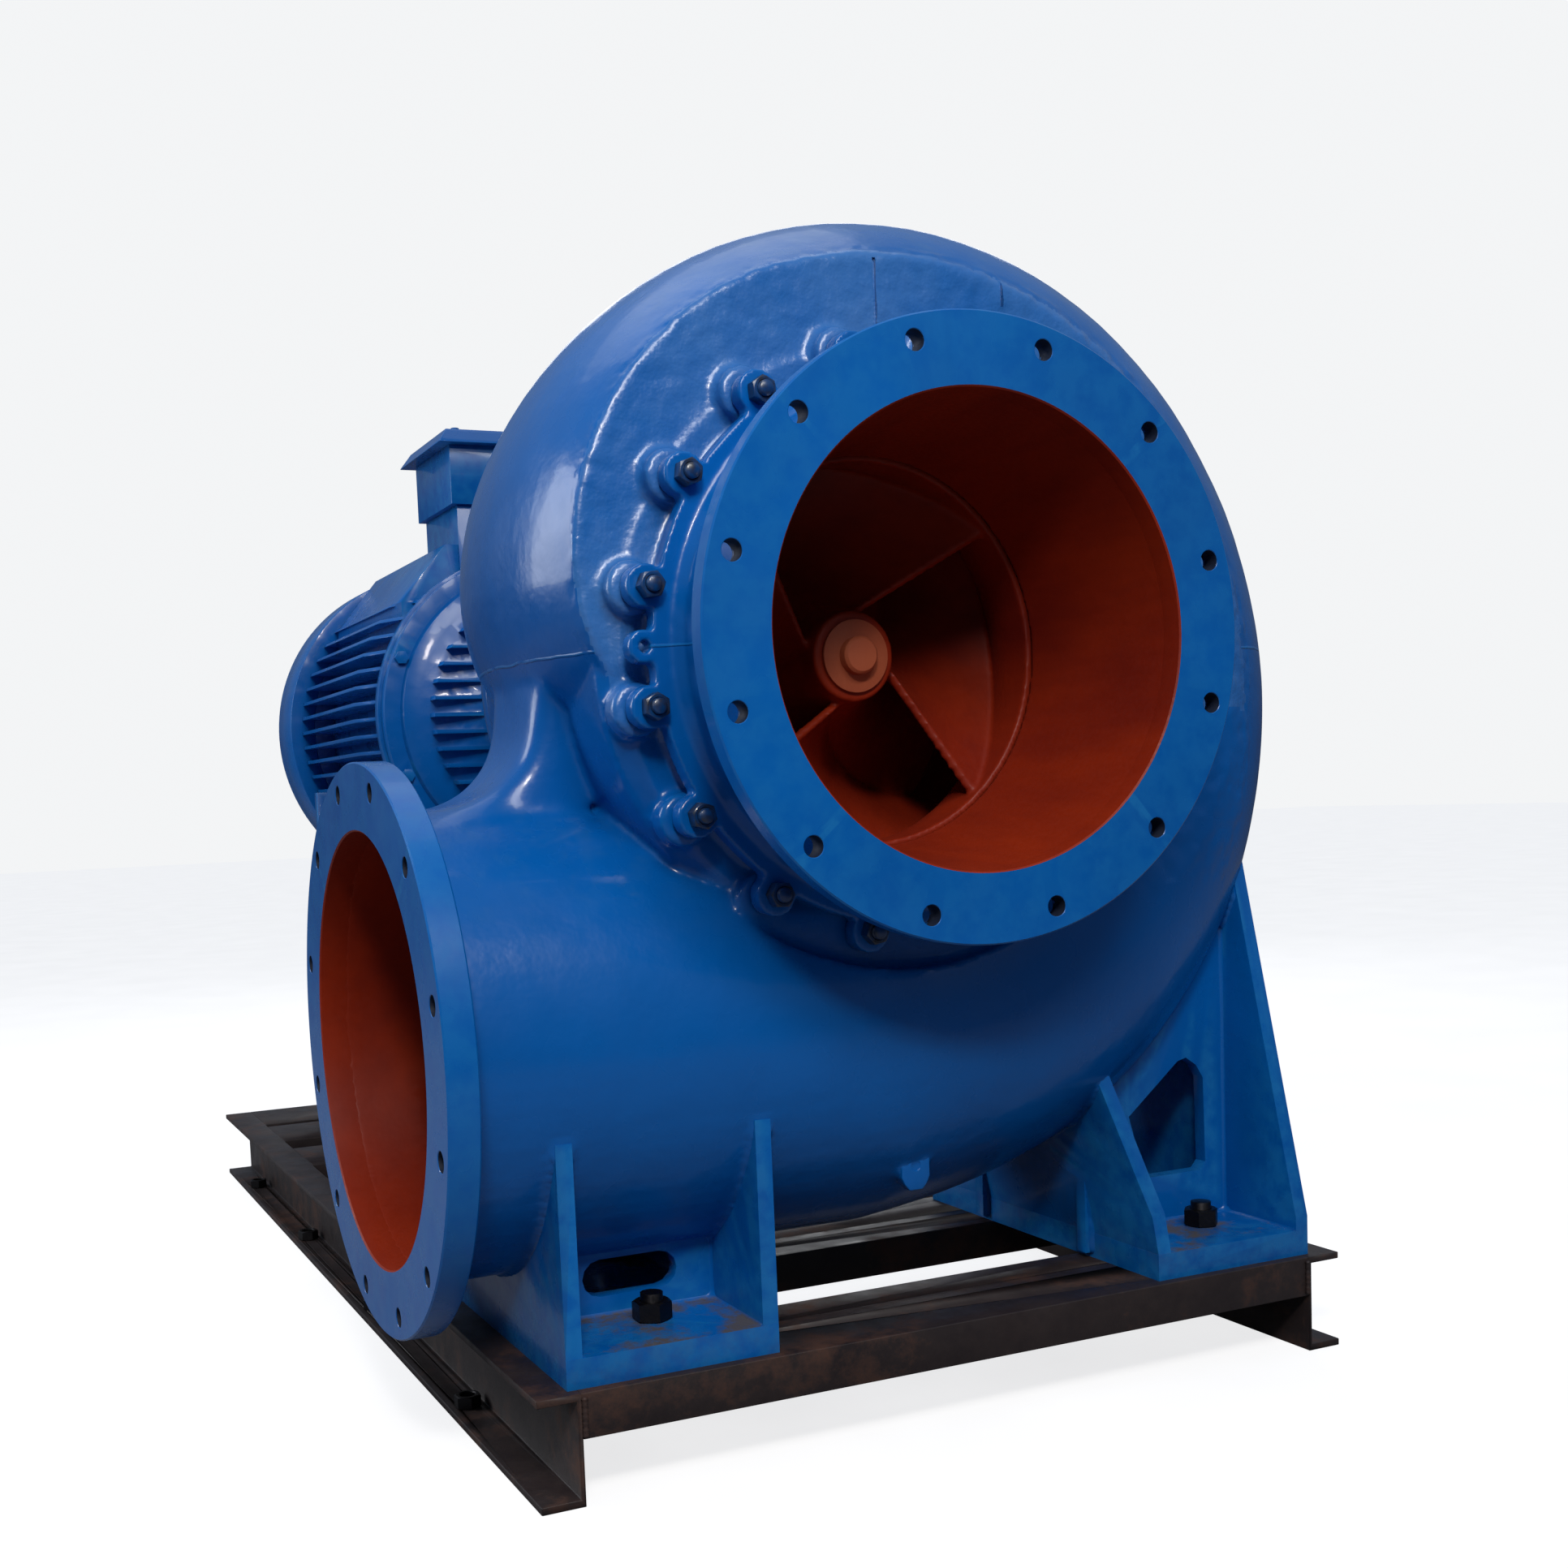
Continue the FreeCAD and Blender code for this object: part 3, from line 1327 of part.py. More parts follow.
def skid():
    inner_left = d.rail_left + d.rail_web
    inner_right = d.rail_right - d.rail_web
    rail("rail_left", inner_left, -1)
    rail("rail_right", inner_right, 1)
    width = d.beam_width
    drilled = []
    for start, hole_y in ((d.rail_front, -d.foot_bolt_depth), (-d.rail_front - width, d.foot_bolt_depth)):
        holes = []
        for x in (d.left_foot_bolt, d.right_foot_bolt):
            holes.append(cylinder(d.foot_bolt_radius + 1, d.beam_lip, x, hole_y, d.skid_height - d.beam_lip))
        drilled.append(cut(cross_beam(start), fuse(holes)))
    group("pump_beams", drilled)
    starts = (as_size(1262), as_size(1560), d.rail_back - width)
    group("motor_beams", [cross_beam(start) for start in starts])
    nuts = []
    for x in (inner_left - ANCHOR_OUT, inner_right + ANCHOR_OUT):
        for y in anchor_rows():
            nuts.append(nut(34, 18, d.anchor_hole, x, y, d.rail_flange_thick))
    group("anchor_nuts", nuts)


def motor_pedestal():
    """A welded stool that lifts the motor to the pump's shaft height."""
    floor, top = d.skid_height, d.motor_feet - PEDESTAL_PLATE
    y0, y1 = d.motor_front + 10, d.motor_back - 10
    middle = (y0 + y1) / 2
    base = floor + 18
    thick = 16
    plates = [box(-345, 345, y0, y1, top, top + PEDESTAL_PLATE)]
    for x0, x1 in ((-345, -225), (225, 345)):
        plates.append(box(x0, x1, y0 + 20, y1 - 20, floor, base))
    for x0 in (-298, 298 - thick):
        plates.append(box(x0, x0 + thick, y0 + 30, y1 - 30, base, top))
    for y in (y0 + 30, middle - thick / 2, y1 - 30 - thick):
        plates.append(box(-290, 290, y, y + thick, base, top))
        for x0 in (-340, 298):
            plates.append(box(x0, x0 + 42, y, y + thick, base, top))
    holes = [box(-170, 170, y0, y1, floor + 110, top - 110)]
    for y in (y0 + 95, middle + 50):
        holes.append(box(-320, 320, y, y + 150, floor + 130, top - 130))
    for x, y in motor_bolt_spots():
        holes.append(cylinder(d.motor_bolt_radius, PEDESTAL_PLATE, x, y, top))
    sub_part(cut(fuse(plates), fuse(holes)), "motor_pedestal")


def foot_fasteners():
    bolts, nuts = [], []
    radius = d.foot_bolt_radius
    head_thick = 19
    low = d.skid_height - d.beam_thick - head_thick
    for x in (d.left_foot_bolt, d.right_foot_bolt):
        for y in (-d.foot_bolt_depth, d.foot_bolt_depth):
            head = hexagon(46, head_thick, x, y, low)
            shank = cylinder(radius, d.beam_thick + d.foot_plate_thick + 36, x, y, low + head_thick)
            bolts.append(fuse([head, shank]))
            nuts.append(nut(46, 26, radius, x, y, d.skid_height + d.foot_plate_thick))
    group("foot_bolts", bolts)
    group("foot_nuts", nuts)


# ---------------------------------------------------------------- the whole pump


def build():
    volute_casing()
    suction_cover()
    cover_fasteners()
    tube("casing_gasket", d.cover_seat - d.gasket_thick, d.cover_seat, d.front_opening + 2, 350)
    tube("wear_ring", d.ring_front + 2, d.spigot_end - 2, d.impeller_eye_outer + 1, d.ring_seat)
    impeller()
    impeller_nut()
    key("impeller_key", *IMPELLER_KEY, d.bore_radius, d.key_width)
    pump_shaft()
    tube("shaft_sleeve", d.hub_back, SLEEVE_END, d.sleeve_seat, d.sleeve_radius)
    back_cover()
    stuffing_box_rings()
    gland()
    bearing_housing()
    back_fasteners()
    pump_places = (d.front_bearing, d.rear_bearing)
    rolling_bearings("pump_bearing", pump_places, d.bearing_seat, d.bearing_outer, d.bearing_width, 14)
    bearing_covers()
    pump_coupling_half()
    motor_coupling_half()
    coupling_pins()
    key("pump_coupling_key", *PUMP_KEY, d.coupling_seat, COUPLING_KEY_WIDTH)
    key("motor_coupling_key", *MOTOR_KEY, d.motor_shaft_radius, COUPLING_KEY_WIDTH)
    motor_frame()
    motor_front_shield()
    motor_rear_shield()
    shield_bolts()
    motor_windings_and_cores()
    motor_places = (as_size(MOTOR_FRONT_BEARING), as_size(MOTOR_REAR_BEARING))
    motor_width = as_size(MOTOR_BEARING_WIDTH)
    rolling_bearings("motor_bearing", motor_places, MOTOR_SEAT, MOTOR_BEARING_OUTER, motor_width, 10)
    motor_shaft()
    motor_fan()
    fan_cowl()
    terminal_box()
    terminal_lid()
    cable_gland()
    motor_pedestal()
    motor_bolts()
    skid()
    foot_fasteners()


build()


# ---------------------------------------------------------------- check and export


def faults():
    """Every failed feature, and every sub-part without a sound shape."""
    for thing in doc.Objects:
        if "Invalid" in thing.State or "Error" in thing.State:
            yield f"{thing.Name} ({thing.Label}) is {thing.State}: {thing.getStatusString()}"
    for piece in SUB_PARTS:
        if piece.Shape.isNull() or not piece.Shape.isValid():
            yield f"{piece.Label} has no sound shape"


doc.recompute()
problems = list(faults())
if problems:
    raise SystemExit("\n".join(problems))
os.makedirs("parts", exist_ok=True)
for piece in SUB_PARTS:
    piece.Shape.exportStep(f"parts/{piece.Label}.step")
print(len(SUB_PARTS), "sub-parts written")
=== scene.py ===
import json
import math

import bmesh
import bpy
import numpy as np
from mathutils import Euler, Matrix, Vector, noise
from mathutils.bvhtree import BVHTree


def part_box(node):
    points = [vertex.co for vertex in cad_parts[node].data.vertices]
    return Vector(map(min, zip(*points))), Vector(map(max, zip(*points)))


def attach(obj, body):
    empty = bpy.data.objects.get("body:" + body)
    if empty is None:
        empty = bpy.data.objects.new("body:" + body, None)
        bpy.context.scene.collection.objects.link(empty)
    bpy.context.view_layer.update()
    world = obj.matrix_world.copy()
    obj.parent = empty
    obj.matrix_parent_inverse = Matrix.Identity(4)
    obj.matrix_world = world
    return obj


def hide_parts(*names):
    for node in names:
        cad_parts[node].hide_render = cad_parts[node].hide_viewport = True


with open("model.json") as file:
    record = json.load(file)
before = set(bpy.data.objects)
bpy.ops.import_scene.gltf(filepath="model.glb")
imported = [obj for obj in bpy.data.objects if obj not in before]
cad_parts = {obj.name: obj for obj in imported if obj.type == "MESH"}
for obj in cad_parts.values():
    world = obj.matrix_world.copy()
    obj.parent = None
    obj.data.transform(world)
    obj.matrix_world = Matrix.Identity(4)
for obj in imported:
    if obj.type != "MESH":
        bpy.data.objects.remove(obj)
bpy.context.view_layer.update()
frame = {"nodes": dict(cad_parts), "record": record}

# Looks of the volute pump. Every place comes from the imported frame, in metres: the shaft runs
# along +Y, the suction flange faces -Y and the discharge flange faces -X.

NODES = frame["nodes"]
MOUNTS = {mount["name"]: mount for mount in frame["record"]["mounts"]}
SHAFT_X, SUCTION_Y, SHAFT_Z = MOUNTS["suction_flange"]["pos_m"]
DISCHARGE_X, VOLUTE_Y, PIPE_Z = MOUNTS["discharge_flange"]["pos_m"]
MM = 0.001
FOOT_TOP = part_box("pump_beams")[1].z + 38 * MM


# ---------------------------------------------------------------- mesh tools


def link(obj):
    bpy.context.scene.collection.objects.link(obj)
    return obj


def new_object(name, bm):
    """An object that takes over a bmesh."""
    mesh = bpy.data.meshes.new(name)
    bm.to_mesh(mesh)
    bm.free()
    return link(bpy.data.objects.new(name, mesh))


def apply_modifiers(obj):
    """Replaces the mesh with what the modifiers make of it."""
    graph = bpy.context.evaluated_depsgraph_get()
    mesh = bpy.data.meshes.new_from_object(obj.evaluated_get(graph), depsgraph=graph)
    obj.modifiers.clear()
    obj.data = mesh
    return obj


def coordinates(mesh):
    flat = np.empty(len(mesh.vertices) * 3)
    mesh.vertices.foreach_get("co", flat)
    return flat.reshape(-1, 3)


def set_coordinates(mesh, points):
    mesh.vertices.foreach_set("co", points.ravel())
    mesh.update()


def edge_ends(mesh):
    flat = np.empty(len(mesh.edges) * 2, dtype=np.int64)
    mesh.edges.foreach_get("vertices", flat)
    return flat.reshape(-1, 2)


def relax(mesh, rounds, weight=None):
    """Rounds the shape without shrinking it: each round smooths, then swells back."""
    points = coordinates(mesh)
    ends = edge_ends(mesh)
    one = np.concatenate([ends[:, 0], ends[:, 1]])
    other = np.concatenate([ends[:, 1], ends[:, 0]])
    count = len(points)
    neighbours = np.maximum(np.bincount(one, minlength=count), 1)[:, None]
    share = np.ones((count, 1)) if weight is None else weight[:, None]
    for step in range(rounds * 2):
        strength = 0.5 if step % 2 == 0 else -0.53
        total = [np.bincount(one, weights=points[other, axis], minlength=count) for axis in range(3)]
        middle = np.stack(total, axis=1) / neighbours
        points = points + strength * share * (middle - points)
    set_coordinates(mesh, points)


def smooth_step(value, low, high):
    share = np.clip((value - low) / (high - low), 0, 1)
    return share * share * (3 - 2 * share)


def shade(obj, degrees=35):
    """Smooth shading, with edges sharper than this left crisp."""
    mesh = obj.data
    mesh.shade_smooth()
    mesh.set_sharp_from_angle(angle=math.radians(degrees))
    return obj


def paint(obj, *materials):
    obj.data.materials.clear()
    for item in materials:
        obj.data.materials.append(item)
    return obj


def finish_piece(obj, body, replaces=()):
    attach(obj, body)
    if replaces:
        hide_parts(*replaces)
    return obj


def welded_copy(node):
    """A bmesh of a CAD node with its split corners joined again."""
    bm = bmesh.new()
    bm.from_mesh(NODES[node].data)
    bmesh.ops.remove_doubles(bm, verts=bm.verts, dist=0.01 * MM)
    return bm


def islands(node):
    """The box (lowest corner, highest corner) of each separate solid of a CAD node."""
    bm = welded_copy(node)
    left = set(bm.verts)
    boxes = []
    while left:
        stack = [left.pop()]
        group = list(stack)
        while stack:
            for edge in stack.pop().link_edges:
                for vertex in edge.verts:
                    if vertex in left:
                        left.discard(vertex)
                        stack.append(vertex)
                        group.append(vertex)
        points = np.array([vertex.co for vertex in group])
        boxes.append((Vector(points.min(0)), Vector(points.max(0))))
    bm.free()
    return sorted(boxes, key=lambda box: tuple(round(value, 4) for value in box[0]))


def split_off(bm, point, normal):
    """Keeps the part of a closed mesh on the far side of a plane, and closes the cut."""
    geometry = bm.verts[:] + bm.edges[:] + bm.faces[:]
    result = bmesh.ops.bisect_plane(bm, geom=geometry, plane_co=point, plane_no=normal, clear_inner=True)
    rim = [item for item in result["geom_cut"] if isinstance(item, bmesh.types.BMEdge)]
    bmesh.ops.triangle_fill(bm, edges=rim, use_beauty=True, use_dissolve=False)
    return bm


def cast_copy(name, bm, voxel, rounds):
    """A mesh turned into an even skin whose corners are rounded as a casting's are."""
    obj = new_object(name, bm)
    remesh = obj.modifiers.new("Skin", "REMESH")
    remesh.mode = "VOXEL"
    remesh.voxel_size = voxel
    apply_modifiers(obj)
    relax(obj.data, rounds)
    return obj


def lighten(obj, ratio):
    """Merges faces where the skin is flat."""
    decimate = obj.modifiers.new("Lighten", "DECIMATE")
    decimate.ratio = ratio
    apply_modifiers(obj)


def frame_for(axis):
    """The rotation that takes +Z to an axis named by a signed letter."""
    turns = {
        "+X": Euler((0, math.pi / 2, 0)),
        "-X": Euler((0, -math.pi / 2, 0)),
        "+Y": Euler((-math.pi / 2, 0, 0)),
        "-Y": Euler((math.pi / 2, 0, 0)),
        "+Z": Euler((0, 0, 0)),
    }
    return turns[axis].to_matrix().to_4x4()


def revolve(bm, profile, centre, axis, segments):
    """Turns closed (height, radius) points about an axis through a centre; radius 0 closes a tip."""
    place = Matrix.Translation(Vector(centre)) @ frame_for(axis)
    rings = []
    for height, radius in profile:
        if radius < 1e-7:
            rings.append([bm.verts.new(place @ Vector((0, 0, height)))])
            continue
        ring = []
        for index in range(segments):
            angle = 2 * math.pi * index / segments
            ring.append(bm.verts.new(place @ Vector((radius * math.cos(angle), radius * math.sin(angle), height))))
        rings.append(ring)
    for first, second in zip(rings, rings[1:] + rings[:1]):
        if len(first) == 1 and len(second) == 1:
            continue
        for index in range(segments):
            after = (index + 1) % segments
            corners = [first[index % len(first)], first[after % len(first)]]
            corners += [second[after % len(second)], second[index % len(second)]]
            unique = list(dict.fromkeys(corners))
            bm.faces.new(unique)
    bmesh.ops.recalc_face_normals(bm, faces=bm.faces[:])
    return bm


def drill(obj, spots, axis, radius, depth, chamfer):
    """Bores round holes with a small chamfer at both mouths; spots lie on the near face."""
    cutter = bmesh.new()
    for spot in spots:
        profile = [
            (-2 * chamfer, 0), (-2 * chamfer, radius + 3 * chamfer), (chamfer, radius),
            (depth - chamfer, radius), (depth + 2 * chamfer, radius + 3 * chamfer), (depth + 2 * chamfer, 0),
        ]
        revolve(cutter, profile, spot, axis, 40)
    tool = new_object("cutter", cutter)
    boolean = obj.modifiers.new("Holes", "BOOLEAN")
    boolean.operation = "DIFFERENCE"
    boolean.solver = "EXACT"
    boolean.object = tool
    apply_modifiers(obj)
    bpy.data.objects.remove(tool)


def soften(node, width=1.5 * MM, segments=2, degrees=38):
    """Breaks a CAD piece's sharp edges, as paint or a file would."""
    obj = NODES[node]
    weld = obj.modifiers.new("Join", "WELD")
    weld.merge_threshold = 0.01 * MM
    bevel = obj.modifiers.new("Break", "BEVEL")
    bevel.width = width
    bevel.segments = segments
    bevel.limit_method = "ANGLE"
    bevel.angle_limit = math.radians(degrees)
    bevel.use_clamp_overlap = True
    bevel.harden_normals = True
    obj.data.shade_smooth()
    return obj


# ---------------------------------------------------------------- materials


class Shader:
    """A material whose nodes are added one by one."""

    def __init__(self, name):
        self.material = bpy.data.materials.new(name)
        self.material.use_nodes = True
        self.tree = self.material.node_tree
        self.surface = self.tree.nodes["Principled BSDF"]
        self.position = self.node("ShaderNodeTexCoord").outputs["Object"]

    def node(self, kind, **inputs):
        item = self.tree.nodes.new(kind)
        for name, value in inputs.items():
            self.feed(item.inputs[name.replace("_", " ")], value)
        return item

    def feed(self, socket, value):
        if isinstance(value, bpy.types.NodeSocket):
            self.tree.links.new(value, socket)
        else:
            socket.default_value = value

    def set(self, **inputs):
        for name, value in inputs.items():
            self.feed(self.surface.inputs[name.replace("_", " ")], value)

    def noise(self, scale, detail=3.0, roughness=0.55, stretch=None):
        where = self.position
        if stretch:
            mapping = self.node("ShaderNodeMapping", Vector=where)
            mapping.inputs["Scale"].default_value = stretch
            where = mapping.outputs["Vector"]
        item = self.node("ShaderNodeTexNoise", Vector=where, Scale=scale, Detail=detail, Roughness=roughness)
        return item.outputs["Fac"]

    def between(self, value, low, high, first=0.0, last=1.0):
        """Spreads a value's range over another."""
        item = self.node("ShaderNodeMapRange", Value=value)
        for name, number in (("From Min", low), ("From Max", high), ("To Min", first), ("To Max", last)):
            item.inputs[name].default_value = number
        return item.outputs["Result"]

    def mix(self, share, first, second):
        item = self.tree.nodes.new("ShaderNodeMix")
        item.data_type = "RGBA"
        self.feed(item.inputs["Factor"], share)
        self.feed(item.inputs["A"], first)
        self.feed(item.inputs["B"], second)
        return next(out for out in item.outputs if out.type == "RGBA")

    def math(self, operation, first, second=0.0):
        item = self.tree.nodes.new("ShaderNodeMath")
        item.operation = operation
        self.feed(item.inputs[0], first)
        self.feed(item.inputs[1], second)
        return item.outputs[0]

    def axis(self, letter):
        return self.node("ShaderNodeSeparateXYZ", Vector=self.position).outputs[letter]

    def facing(self, letter):
        """The surface normal's share along an axis."""
        normal = self.node("ShaderNodeNewGeometry").outputs["Normal"]
        return self.node("ShaderNodeSeparateXYZ", Vector=normal).outputs[letter]

    def bump(self, *layers):
        """Bump from (height socket, strength, distance) layers, one on top of the other."""
        normal = None
        for height, strength, distance in layers:
            item = self.node("ShaderNodeBump", Height=height, Strength=strength, Distance=distance)
            if normal:
                self.feed(item.inputs["Normal"], normal)
            normal = item.outputs["Normal"]
        self.feed(self.surface.inputs["Normal"], normal)


def rgb(red, green, blue):
    return (red, green, blue, 1.0)


ENAMEL = rgb(0.0, 0.102, 0.39)
ENAMEL_DEEP = rgb(0.0, 0.078, 0.31)
ENAMEL_DUSTY = rgb(0.03, 0.13, 0.30)
ENAMEL_WORN = rgb(0.01, 0.16, 0.42)
BARE_IRON = rgb(0.075, 0.070, 0.075)


def enamel(name, cast=0.4, scuffed=False):
    """Glossy blue enamel, thick over cast metal, with a little dust where it faces up."""
    shader = Shader(name)
    patches = shader.between(shader.noise(2.2, 4), 0.35, 0.7)
    colour = shader.mix(patches, ENAMEL, ENAMEL_DEEP)
    edges = shader.between(shader.node("ShaderNodeNewGeometry").outputs["Pointiness"], 0.53, 0.60)
    rubbed = shader.math("MULTIPLY", edges, shader.between(shader.noise(35, 5), 0.35, 0.6))
    colour = shader.mix(shader.math("MULTIPLY", rubbed, 0.6), colour, ENAMEL_WORN)
    settled = shader.between(shader.facing("Z"), 0.35, 1.0)
    specks = shader.between(shader.noise(28, 6, 0.65), 0.48, 0.66)
    dust = shader.math("MULTIPLY", shader.math("MULTIPLY", settled, specks), 0.22)
    colour = shader.mix(dust, colour, ENAMEL_DUSTY)
    streaks = shader.between(shader.noise(16, 5, 0.6, (1.0, 1.0, 0.12)), 0.60, 0.74)
    colour = shader.mix(shader.math("MULTIPLY", streaks, 0.25), colour, ENAMEL_DEEP)
    gloss = shader.between(shader.noise(9, 4), 0.3, 0.7, 0.20, 0.36)
    if scuffed:
        low = shader.between(shader.axis("Z"), FOOT_TOP + 4 * MM, FOOT_TOP + 1 * MM)
        level = shader.between(shader.facing("Z"), 0.3, 0.9, 0.12, 1.0)
        chips = shader.between(shader.noise(9, 8, 0.72), 0.50, 0.60)
        bare = shader.math("MULTIPLY", shader.math("MULTIPLY", low, chips), level)
        colour = shader.mix(bare, colour, BARE_IRON)
        gloss = shader.math("ADD", gloss, shader.math("MULTIPLY", bare, 0.35))
    peel = shader.noise(240, 2)
    swell = shader.noise(22, 3)
    layers = [(swell, cast, 3 * MM), (peel, 0.10, 0.4 * MM)]
    if scuffed:
        wander = shader.between(shader.noise(6, 3), 0.3, 0.7, -3 * MM, 3 * MM)
        off = shader.math("ABSOLUTE", shader.math("ADD", shader.axis("Z"), wander))
        off = shader.math("ABSOLUTE", shader.math("SUBTRACT", off, SHAFT_Z))
        broken = shader.between(shader.noise(9, 3), 0.44, 0.52)
        seam = shader.math("MULTIPLY", shader.between(off, 2.2 * MM, 0.8 * MM), broken)
        colour = shader.mix(shader.math("MULTIPLY", seam, 0.5), colour, ENAMEL_WORN)
        layers.append((seam, 0.8, 1.5 * MM))
    shader.set(Base_Color=colour, Roughness=gloss, Coat_Weight=0.20, Coat_Roughness=0.07)
    shader.set(Specular_IOR_Level=0.28)
    shader.bump(*layers)
    return shader.material


def dark_enamel(name):
    """Enamel on the nuts, where the steel under it shows dark."""
    shader = Shader(name)
    worn = shader.between(shader.noise(60, 5), 0.42, 0.62)
    shader.set(Base_Color=shader.mix(worn, rgb(0.001, 0.035, 0.13), rgb(0.012, 0.016, 0.03)))
    shader.set(Roughness=shader.between(shader.noise(90, 3), 0.3, 0.7, 0.28, 0.45), Coat_Weight=0.2)
    shader.bump((shader.noise(160, 3), 0.2, 0.4 * MM))
    return shader.material


def rough_enamel(name):
    """Enamel over the rough skin that the sand mould leaves."""
    shader = Shader(name)
    patches = shader.between(shader.noise(6, 5), 0.35, 0.7)
    colour = shader.mix(patches, rgb(0.004, 0.104, 0.38), rgb(0.035, 0.150, 0.42))
    gloss = shader.between(shader.noise(30, 4), 0.3, 0.7, 0.24, 0.42)
    shader.set(Base_Color=colour, Roughness=gloss, Coat_Weight=0.5, Coat_Roughness=0.22)
    shader.bump((shader.noise(34, 3), 0.7, 4 * MM), (shader.noise(95, 4), 0.5, 1.6 * MM))
    return shader.material


def primer(name, red=rgb(0.27, 0.021, 0.003), dark=rgb(0.14, 0.009, 0.004)):
    """Red-oxide primer, sprayed thin and slightly streaked."""
    shader = Shader(name)
    streaks = shader.between(shader.noise(5, 5, 0.6, (1.0, 0.25, 1.0)), 0.35, 0.7)
    colour = shader.mix(streaks, red, dark)
    grit = shader.noise(160, 3)
    shader.set(Base_Color=colour, Roughness=shader.between(grit, 0.3, 0.7, 0.42, 0.60))
    shader.set(Specular_IOR_Level=0.22, Coat_Weight=0.03, Coat_Roughness=0.35)
    shader.bump((shader.noise(26, 3), 0.35, 2 * MM), (grit, 0.25, 0.4 * MM))
    return shader.material


def rolled_steel(name):
    """Dark painted rolled steel, rusting where the paint is thin."""
    shader = Shader(name)
    scale = shader.between(shader.noise(14, 6, 0.7), 0.35, 0.7)
    base = shader.mix(scale, rgb(0.016, 0.011, 0.012), rgb(0.030, 0.021, 0.020))
    rust = shader.between(shader.noise(7, 7, 0.72), 0.52, 0.66)
    colour = shader.mix(shader.math("MULTIPLY", rust, 0.75), base, rgb(0.070, 0.030, 0.019))
    dull = shader.between(shader.noise(20, 5), 0.3, 0.7, 0.38, 0.62)
    shader.set(Base_Color=colour, Roughness=shader.math("ADD", dull, shader.math("MULTIPLY", rust, 0.18)))
    shader.set(Specular_IOR_Level=0.32)
    shader.bump((shader.noise(60, 5), 0.35, 0.8 * MM), (shader.noise(300, 3), 0.3, 0.3 * MM))
    return shader.material


def metal(name, colour, roughness, turned=False):
    """Bare machined metal; turned metal has fine rings about the shaft's direction."""
    shader = Shader(name)
    tint = shader.between(shader.noise(12, 4), 0.3, 0.7)
    darker = rgb(*(channel * 0.75 for channel in colour[:3]))
    shader.set(Base_Color=shader.mix(tint, colour, darker), Metallic=1.0)
    stretch = (6.0, 900.0, 6.0) if turned else (60.0, 60.0, 60.0)
    marks = shader.noise(1.0 if turned else 4.0, 3, 0.6, stretch)
    shader.set(Roughness=shader.between(marks, 0.3, 0.7, roughness * 0.8, roughness * 1.3))
    shader.bump((marks, 0.12, 0.1 * MM))
    return shader.material


def dull(name, colour, roughness, scale=80, strength=0.3):
    """Plain non-metal: rubber, packing, moulded plastic or fibre, and the near-black painted shade in bolt holes."""
    shader = Shader(name)
    tint = shader.between(shader.noise(scale * 0.4, 4), 0.3, 0.7)
    lighter = rgb(*(channel * 1.6 + 0.004 for channel in colour[:3]))
    shader.set(Base_Color=shader.mix(tint, colour, lighter))
    shader.set(Roughness=shader.between(shader.noise(scale, 3), 0.3, 0.7, roughness * 0.85, roughness * 1.1))
    shader.bump((shader.noise(scale, 4), strength, 0.5 * MM))
    return shader.material


MATERIALS = {
    "cast_blue": enamel("cast_blue", 0.5, True),
    "plain_blue": enamel("plain_blue", 0.12),
    "rough_blue": rough_enamel("rough_blue"),
    "dark_blue": dark_enamel("dark_blue"),
    "primer": primer("primer"),
    "nut_primer": primer("nut_primer", rgb(0.40, 0.10, 0.045), rgb(0.30, 0.06, 0.03)),
    "skid": rolled_steel("skid"),
    "black_oxide": metal("black_oxide", rgb(0.035, 0.033, 0.035), 0.42),
    "turned": metal("turned", rgb(0.50, 0.50, 0.49), 0.28, True),
    "cast_grey": metal("cast_grey", rgb(0.22, 0.22, 0.22), 0.45, True),
    "core": metal("core", rgb(0.20, 0.20, 0.21), 0.5),
    "bronze": metal("bronze", rgb(0.55, 0.35, 0.13), 0.3, True),
    "copper": metal("copper", rgb(0.50, 0.17, 0.06), 0.35),
    "rubber": dull("rubber", rgb(0.012, 0.012, 0.012), 0.75),
    "plastic": dull("plastic", rgb(0.02, 0.02, 0.022), 0.45, 200, 0.15),
    "fibre": dull("fibre", rgb(0.06, 0.065, 0.05), 0.8, 150),
    "graphite": dull("graphite", rgb(0.03, 0.03, 0.03), 0.6, 260, 0.8),
    # Near-black paint on the flanges' bolt-hole walls: painted shade, standing in for the dark inside of the holes.
    "hole": dull("hole", rgb(0.002, 0.006, 0.02), 0.7),
}


# ---------------------------------------------------------------- casing


FLANGE_CHAMFER = 2 * MM
PIPE_RADIUS = 315 * MM
FLANGE_RADIUS = 380 * MM
FLANGE_BORE = 290 * MM
DISCHARGE_THICK = 40 * MM
SUCTION_THICK = 28 * MM


def flange_holes(mount, along, across):
    """Places of a flange's bolt holes on its face."""
    dims = mount["dims"]
    radius = dims["pcd_mm"] * MM / 2
    centre = Vector(mount["pos_m"])
    for index in range(dims["count"]):
        angle = math.radians(15 + 360 * index / dims["count"])
        yield centre + along * radius * math.cos(angle) + across * radius * math.sin(angle)


